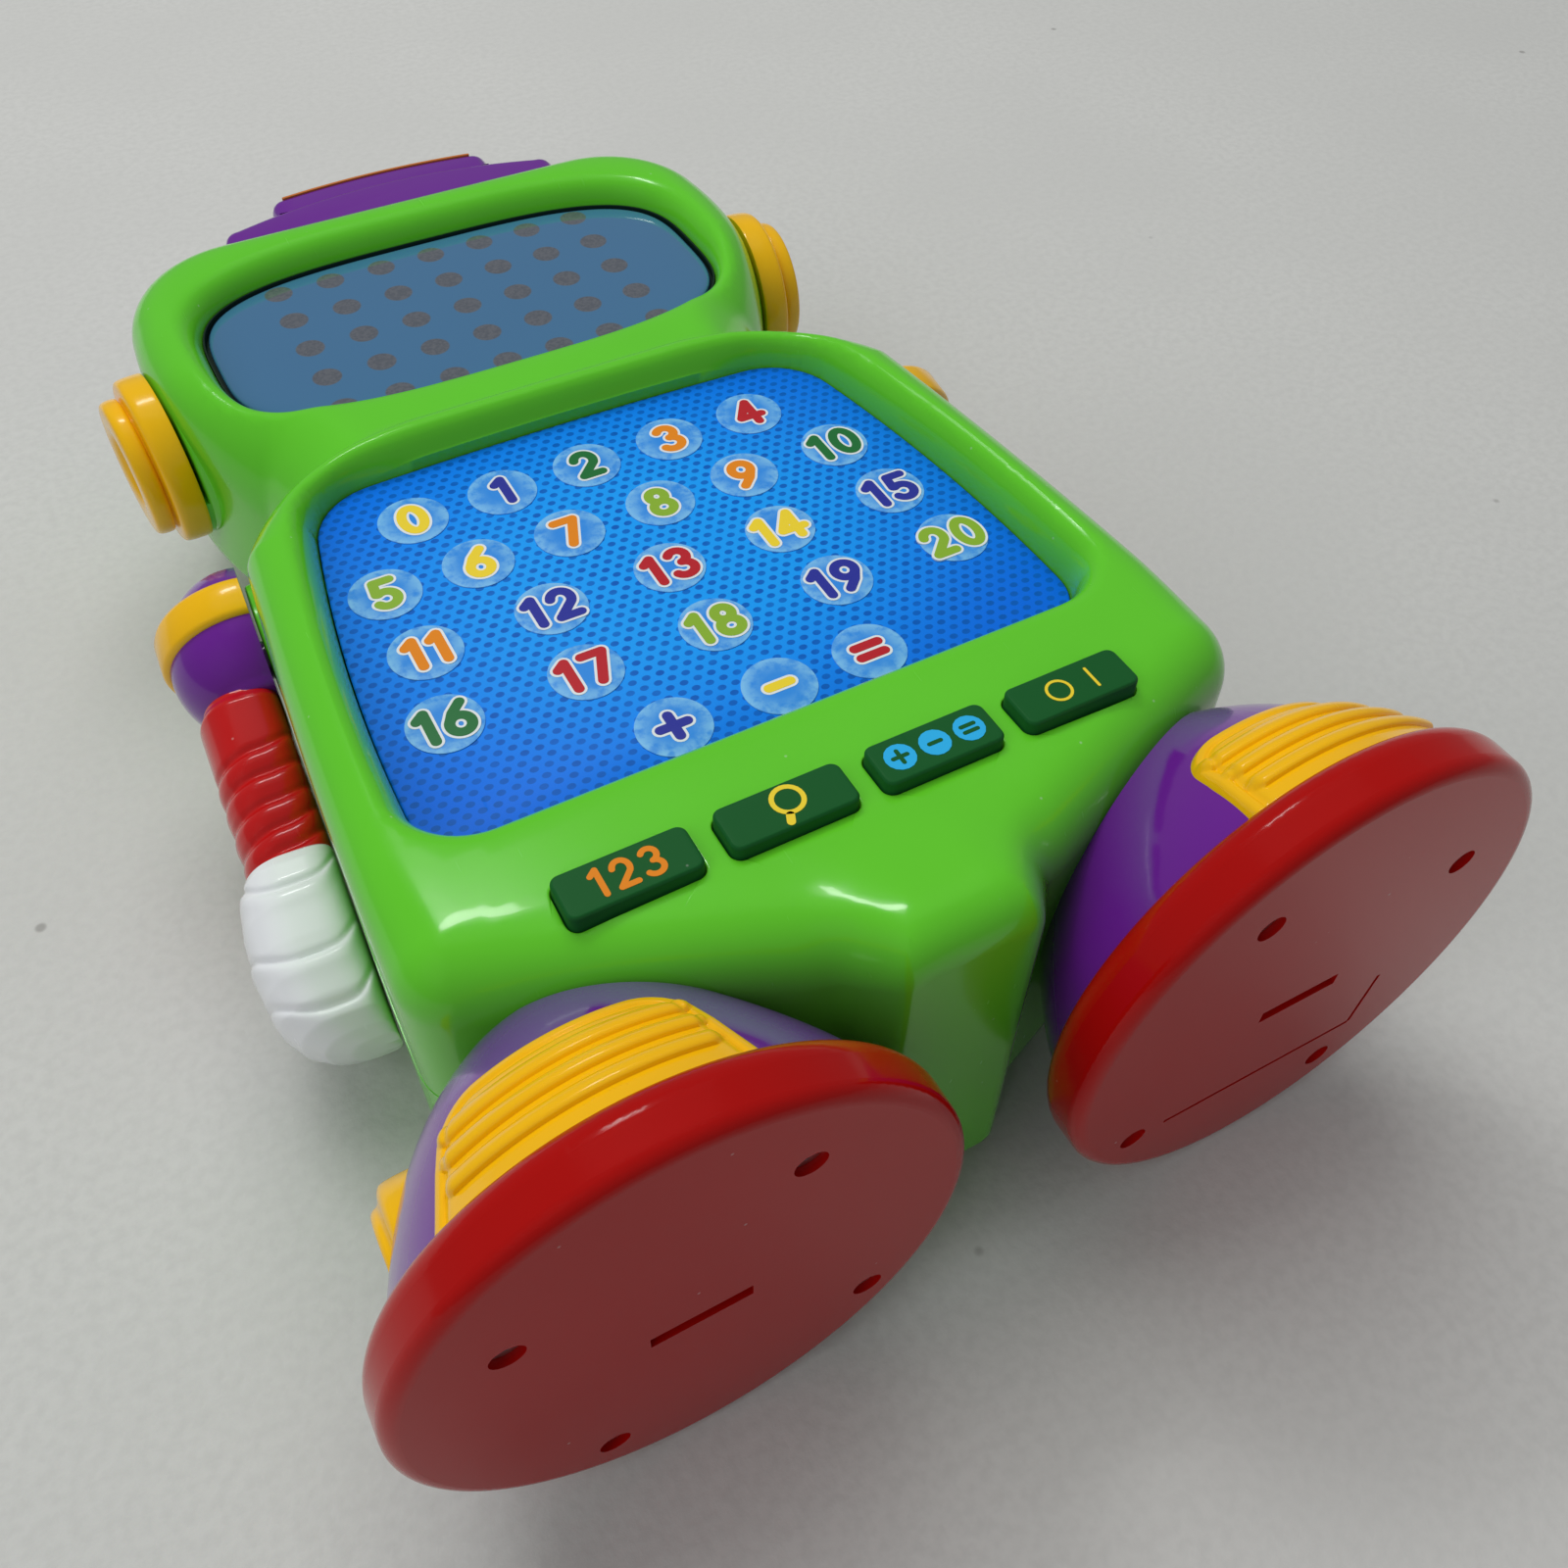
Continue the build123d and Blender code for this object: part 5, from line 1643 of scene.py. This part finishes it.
    def sleeve(self, label: str, side: int, paint: Paintbox) -> Piece:
        """Builds one sleeve: plain at the shoulder, then folds that run aslant round the arm."""
        frame = ArmFrame(side)
        length = self.sleeve_end - self.sleeve_start
        angle = full_turn(ARM_STEPS)
        slant = self.fold_slant[0] * np.cos(angle) + self.fold_slant[1] * np.sin(angle)
        low, high = np.array(self.sleeve_low), np.array(self.sleeve_high)
        rings = []
        for share in np.linspace(0.0, 1.0, 150):
            width, height = low + (high - low) * smoothstep(0, 0.08, share)
            dent = np.zeros_like(angle)
            for number, fold in enumerate(self.folds):
                away = (share - fold - slant * (1 + 0.25 * math.sin(5 * number))) * length
                dent += crease(away, *self.fold)
            along = self.sleeve_start + share * length
            rings.append(self.oval(frame, along, width, height, 1 - self.fold_depth * dent))
        points, faces = loft(rings)
        piece = mesh_piece(f"sleeve_skin_{label}", points, faces, paint.get(Finish.RED), 60)
        return stand_for(piece, f"sleeve_{label}", f"arm_{label}")

    def glove(self, label: str, side: int, paint: Paintbox) -> Piece:
        """Builds one glove, with bowed grooves between its padded fingers."""
        frame = ArmFrame(side)
        outline = np.array(self.glove_outline)
        turns = np.linspace(0, math.pi, 130)
        levels = (1 - np.cos(turns)) / 2 * outline[-1, 0]
        angle = full_turn(ARM_STEPS)
        bow = self.groove_bow * (np.sin(angle) ** 2 - 0.35)
        rings = []
        for at in levels:
            width, height = (float(np.interp(at, outline[:, 0], outline[:, k])) for k in (1, 2))
            dent = np.zeros_like(angle)
            for groove in self.grooves:
                dent += crease(at - (groove + bow), *self.groove)
            share = 1 - dent * self.groove_depth / height
            rings.append(self.oval(frame, self.sleeve_end + at, width, height, share))
        points, faces = loft(rings)
        piece = mesh_piece(f"glove_skin_{label}", points, faces, paint.get(Finish.WHITE), 60)
        return stand_for(piece, f"glove_{label}", f"arm_{label}")

    def build(self, paint: Paintbox) -> list[Piece]:
        """Builds both arms' dressed pieces."""
        pieces = []
        for label, side in SIDES.items():
            pieces += self.shoulder(label, side, paint)
            pieces += [self.sleeve(label, side, paint), self.glove(label, side, paint)]
        return pieces


@dataclass
class Crest:
    """Stepped crest on top of the head, with rounded ends."""

    steps: tuple[tuple[str, float, float, float, float, float, float], ...] = (
        ("crest_base", 43.0, 125.0, 136.6, 143.0, 24.5, 67.3),
        ("crest_tier", 28.5, 135.5, 147.2, 149.1, 28.5, 66.8),
    )
    corner: float = 3.8
    foot: Profile = ((1.8, 0.0), (0.5, 0.5), (0.0, 2.0))
    brow: Profile = ((0.0, 3.6), (0.2, 2.4), (0.7, 1.3), (1.5, 0.55), (2.5, 0.12), (3.2, 0.0))
    line: tuple[float, float, float, float] = (24.5, 145.6, 147.4, 66.9)

    def build(self, paint: Paintbox) -> list[Piece]:
        """Builds the crest's arched steps and the thin line on the upper one."""
        pieces = []
        for node, half, start, shoulder, top, low, high in self.steps:
            flat, side = half - self.corner, shoulder - self.corner
            bevel = 0.29 * self.corner
            arch = three_point_arc((-flat, shoulder), (0, top), (flat, shoulder), 48)
            right = three_point_arc(
                (flat, shoulder), (half - bevel, shoulder - bevel), (half, side), 10,
            )[1:]
            left = (right * (-1, 1))[::-1]
            edge = resample(np.vstack([arch, right, [[half, start], [-half, start]], left]), 0.7)[::-1]
            profile = [(inset, low + rise) for inset, rise in self.foot]
            profile += [(inset, high - drop) for inset, drop in self.brow]
            points, faces = stepped(edge, profile)
            piece = mesh_piece(f"{node}_skin", points, faces, paint.get(Finish.PURPLE), 50)
            pieces.append(stand_for(piece, node, "robot"))
        half, shoulder, top, level = self.line
        path = [[tuple(p) for p in three_point_arc((-half, shoulder), (0, top), (half, shoulder), 24)]]
        inlay = print_piece("crest_line", path, 0.35, level - 1.4, level + 0.05, paint.get(Finish.ORANGE))
        return [*pieces, stand_for(inlay, "crest_inlay", "robot")]


@dataclass
class AnkleDiscs:
    """Round yellow bosses on the outer flanks of the shoes."""

    y: float = -125.4
    z: float = 46.8
    profile: Profile = (
        (79.5, 0.0), (79.5, 15.6), (88.6, 15.6), (89.8, 14.6), (90.2, 12.6), (91.4, 12.2), (92.0, 11.2),
        (92.0, 0.0),
    )

    def build(self, paint: Paintbox) -> list[Piece]:
        """Builds both bosses."""
        pieces = []
        for label, side in SIDES.items():
            points, faces = spin(soften(self.profile, 2), self.y, self.z, side, TURN_STEPS)
            disc = mesh_piece(f"ankle_boss_{label}", points, faces, paint.get(Finish.YELLOW), 50)
            pieces.append(stand_for(disc, f"ankle_disc_{label}", "robot"))
        return pieces


@dataclass
class ToeCaps:
    """Ribbed caps on the toes, laid over the shoes."""

    half_width: float = 23.0
    shift: float = 2.0
    low: float = 10.6
    high: float = 30.5
    taper: float = 0.27
    corner: float = 6.5
    border: float = 2.2
    ribs: tuple[float, ...] = (15.6, 20.2, 24.8)
    rib_half: float = 1.6
    rib_height: float = 1.25
    rib_reach: float = 17.8
    columns: int = 150
    rows: int = 84
    underside: float = -0.8
    sections: tuple[tuple[float, float, float, float, float], ...] = (
        (11.0, 41.0, 45.5, 0.0, 0.0), (20.0, 37.2, 42.5, 0.5, -1.2), (32.0, 30.5, 36.2, 1.4, -2.4),
        (44.0, 21.5, 26.0, 0.5, -3.5),
    )

    def shoe_surface(
        self, side: int, across: np.ndarray, height: np.ndarray, lift: np.ndarray,
    ) -> np.ndarray:
        """Points on the shoe's toe, lifted off it.

        Args:
            side: Side of the body.
            across: Distance across the foot, outwards.
            height: Height above the tread.
            lift: Distance off the shoe.

        Returns:
            The points in the row frame.
        """
        table = np.array(self.sections)
        half_width, half_length, out, toe = (
            np.interp(height, table[:, 0], table[:, k]) for k in (1, 2, 3, 4)
        )
        share = np.clip((across - out) / (half_width + lift), -0.98, 0.98)
        reach = toe + (half_length + lift) * np.sqrt(1 - share**2)
        return FootFrame(side).place(side * across, reach, height)

    def lift(self, across: np.ndarray, height: np.ndarray) -> np.ndarray:
        """Thickness of the cap: a raised border and rounded ribs on a lower field."""
        half = self.half_width - self.taper * (height - self.low)
        to_edge = np.minimum(half - np.abs(across), self.high - height)
        dx = np.maximum(np.abs(across) - (half - self.corner), 0)
        dy = np.maximum(height - (self.high - self.corner), 0)
        to_edge = np.where((dx > 0) & (dy > 0), self.corner - np.hypot(dx, dy), to_edge)
        rim = smoothstep(0, 0.5, to_edge)
        groove = np.exp(-(((to_edge - self.border) / 0.45) ** 2)) * (height > self.low + 0.5)
        value = 1.15 * rim - 0.55 * groove
        for rib in self.ribs:
            end = np.maximum(np.abs(across) - self.rib_reach + (rib - 16) * 0.1, 0)
            away = np.hypot(height - rib, end)
            value += self.rib_height * np.sqrt(np.maximum(1 - (away / self.rib_half) ** 2, 0))
        return value

    def build(self, paint: Paintbox) -> list[Piece]:
        """Builds both caps as a skin laid on the shoe."""
        grid_u, grid_v = np.meshgrid(np.linspace(-1, 1, self.columns), np.linspace(0, 1, self.rows))
        height = self.low + (self.high - self.low) * grid_v
        over = np.clip((height - (self.high - self.corner)) / self.corner, 0, 0.999)
        half = self.half_width - self.taper * (
            height - self.low
        ) - self.corner + self.corner * np.sqrt(1 - over**2)
        across, up = (grid_u * half).ravel(), height.ravel()
        thickness, under = self.lift(across, up), np.full(across.shape, self.underside)
        pieces = []
        for label, side in SIDES.items():
            skins = [self.shoe_surface(side, across + self.shift, up, lift) for lift in (thickness, under)]
            piece = mesh_piece(
                f"toe_cap_skin_{label}", np.vstack(skins), self._faces(), paint.get(Finish.YELLOW), 55,
            )
            pieces.append(stand_for(piece, f"toe_cap_{label}", "robot"))
        return pieces

    def _faces(self) -> list[list[int]]:
        """Faces of the cap: its upper skin, its underside and the rim between them."""
        columns, rows = self.columns, self.rows
        count = rows * columns
        faces = []
        for k in range(rows - 1):
            for i in range(columns - 1):
                a = k * columns + i
                faces.append([a, a + 1, a + columns + 1, a + columns])
                faces.append([count + a, count + a + columns, count + a + columns + 1, count + a + 1])
        rim = [*range(columns), *(k * columns + columns - 1 for k in range(1, rows))]
        rim += [(rows - 1) * columns + i for i in range(columns - 2, -1, -1)]
        rim += [k * columns for k in range(rows - 2, 0, -1)]
        return faces + [[b, a, a + count, b + count] for a, b in zip(rim, [*rim[1:], rim[0]])]


# --------------------------------------------------------------------------- frame nodes that stay
@dataclass
class FrameDress:
    """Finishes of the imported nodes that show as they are."""

    finishes: tuple[tuple[Finish, str], ...] = (
        (Finish.GREEN, "front_shell back_shell battery_door battery_box"),
        (Finish.LENS, "display_window"),
        (Finish.MASK, "display_mask"),
        (Finish.BOARD, "display_board button_board main_board"),
        (Finish.LAMP, "display_leds"),
        (Finish.PRINT, "number_panel"),
        (Finish.FILM, "touch_sheet"),
        (Finish.PAD, "button_pad"),
        (Finish.BLACK, "speaker"),
        (Finish.CELL, "cells"),
        (Finish.STEEL, "battery_contacts door_screw shell_screws sole_screws"),
        (Finish.ORANGE, "crest_inlay"),
        (Finish.DARK_GREEN, "count_button search_button sums_button power_button"),
        (Finish.PURPLE, "crest_base crest_tier shoulder_axle shoulder shoe leg"),
        (Finish.YELLOW, "ear shoulder_band ankle_disc toe_cap"),
        (Finish.RED, "sleeve"),
        (Finish.WHITE, "glove"),
        (Finish.SOLE, "sole"),
    )

    def dress(self, nodes: dict[str, Piece], paint: Paintbox) -> None:
        """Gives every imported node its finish; a name without a side stands for both sides."""
        table = {stem: finish for finish, stems in self.finishes for stem in stems.split()}
        for name, node in nodes.items():
            stem = name if name in table else name.rsplit("_", 1)[0]
            material = paint.get(table[stem])
            node.data.materials.clear()
            node.data.materials.append(material)


# --------------------------------------------------------------------------- camera, floor and light
@dataclass(frozen=True)
class SoftLight:
    """A rectangular area light, in metres and watts; only one that glints is mirrored in glossy surfaces."""

    name: str
    at: tuple[float, float, float]
    target: tuple[float, float, float]
    size: tuple[float, float]
    power: float
    colour: Colour
    glint: bool = False

    def hang(self) -> None:
        """Adds the light to the scene."""
        lamp = bpy.data.lights.new(self.name, "AREA")
        lamp.shape = "RECTANGLE"
        lamp.size, lamp.size_y = self.size
        lamp.energy = self.power
        lamp.color = self.colour
        holder = bpy.data.objects.new(self.name, lamp)
        holder.location = self.at
        holder.rotation_mode = "QUATERNION"
        holder.rotation_quaternion = (Vector(self.at) - Vector(self.target)).to_track_quat("Z", "Y")
        holder.visible_glossy = self.glint
        bpy.context.scene.collection.objects.link(holder)


@dataclass
class Studio:
    """Camera, floor and soft lights."""

    eye: tuple[float, float, float] = (-0.08325, -0.21933, 0.25409)
    right: tuple[float, float, float] = (0.87686387, -0.4806142, 0.01094311)
    up: tuple[float, float, float] = (0.36204167, 0.6751663, 0.64271012)
    forward: tuple[float, float, float] = (0.31628403, 0.55960742, -0.76603129)
    lens: float = 33.43
    sensor: float = 36.0
    floor_half: float = 3000.0
    floor_level: float = -0.05
    floor_colour: Colour = (0.645, 0.65, 0.63)
    room_colour: Colour = (0.82, 0.84, 0.86)
    room_strength: float = 0.24
    lights: tuple[SoftLight, ...] = (
        SoftLight("ceiling_panel", (0.1, 0.65, 1.6), (0.0, 0.0, 0.0), (1.6, 1.2), 17.0, (1.0, 0.99, 0.97)),
        SoftLight("window_side", (-1.3, -0.5, 1.2), (0.0, 0.0, 0.0), (1.2, 1.2), 8.0, (0.97, 0.99, 1.0)),
        SoftLight(
            "lamp_strip", (-0.07, 0.70, 1.20), (-0.02, 0.0, 0.05), (0.36, 0.10), 1.9, (1.0, 1.0, 1.0), True,
        ),
    )

    def build(self) -> None:
        """Builds the studio."""
        camera = bpy.data.cameras.new("camera")
        camera.lens = self.lens
        camera.sensor_width = self.sensor
        camera.clip_start = 0.01
        holder = bpy.data.objects.new("camera", camera)
        bpy.context.scene.collection.objects.link(holder)
        turn = Matrix((self.right, self.up, tuple(-c for c in self.forward))).transposed()
        holder.matrix_world = Matrix.Translation(self.eye) @ turn.to_4x4()
        bpy.context.scene.camera = holder
        self._floor()
        for light in self.lights:
            light.hang()
        world = bpy.data.worlds.new("room")
        world.use_nodes = True
        background = world.node_tree.nodes["Background"]
        background.inputs[0].default_value = (*self.room_colour, 1)
        background.inputs[1].default_value = self.room_strength
        bpy.context.scene.world = world
        bpy.context.scene.view_settings.view_transform = "Standard"

    def _floor(self) -> None:
        """Lays the pale painted floor."""
        corners = ((-1, -1), (1, -1), (1, 1), (-1, 1))
        points = np.array(
            [(self.floor_half * x, self.floor_half * y, self.floor_level) for x, y in corners]
        )
        paint = PaintedFloor("painted_floor", self.floor_colour).material()
        mesh_piece("floor", points, [[0, 1, 2, 3]], paint, recalculate=False)


def main() -> None:
    """Builds the robot's looks in order."""
    logging.basicConfig(level=logging.INFO, format="%(message)s")
    paint = Paintbox()
    Studio().build()
    FrameDress().dress(frame["nodes"], paint)
    shell = FrontShell()
    made: list[Piece] = []
    made += shell.build(paint)
    made += Display().build(shell, paint)
    made += NumberPanel().build(shell, paint)
    made += PushButtons(shell.button_x, shell.button_y).build(paint)
    made += Ears().build(paint)
    made += Arms().build(paint)
    made += Crest().build(paint)
    made += ToeCaps().build(paint)
    made += AnkleDiscs().build(paint)
    for piece in made:
        LOG.info("%s: %d faces", piece.name, len(piece.data.polygons))


if __name__ == "__main__":
    main()
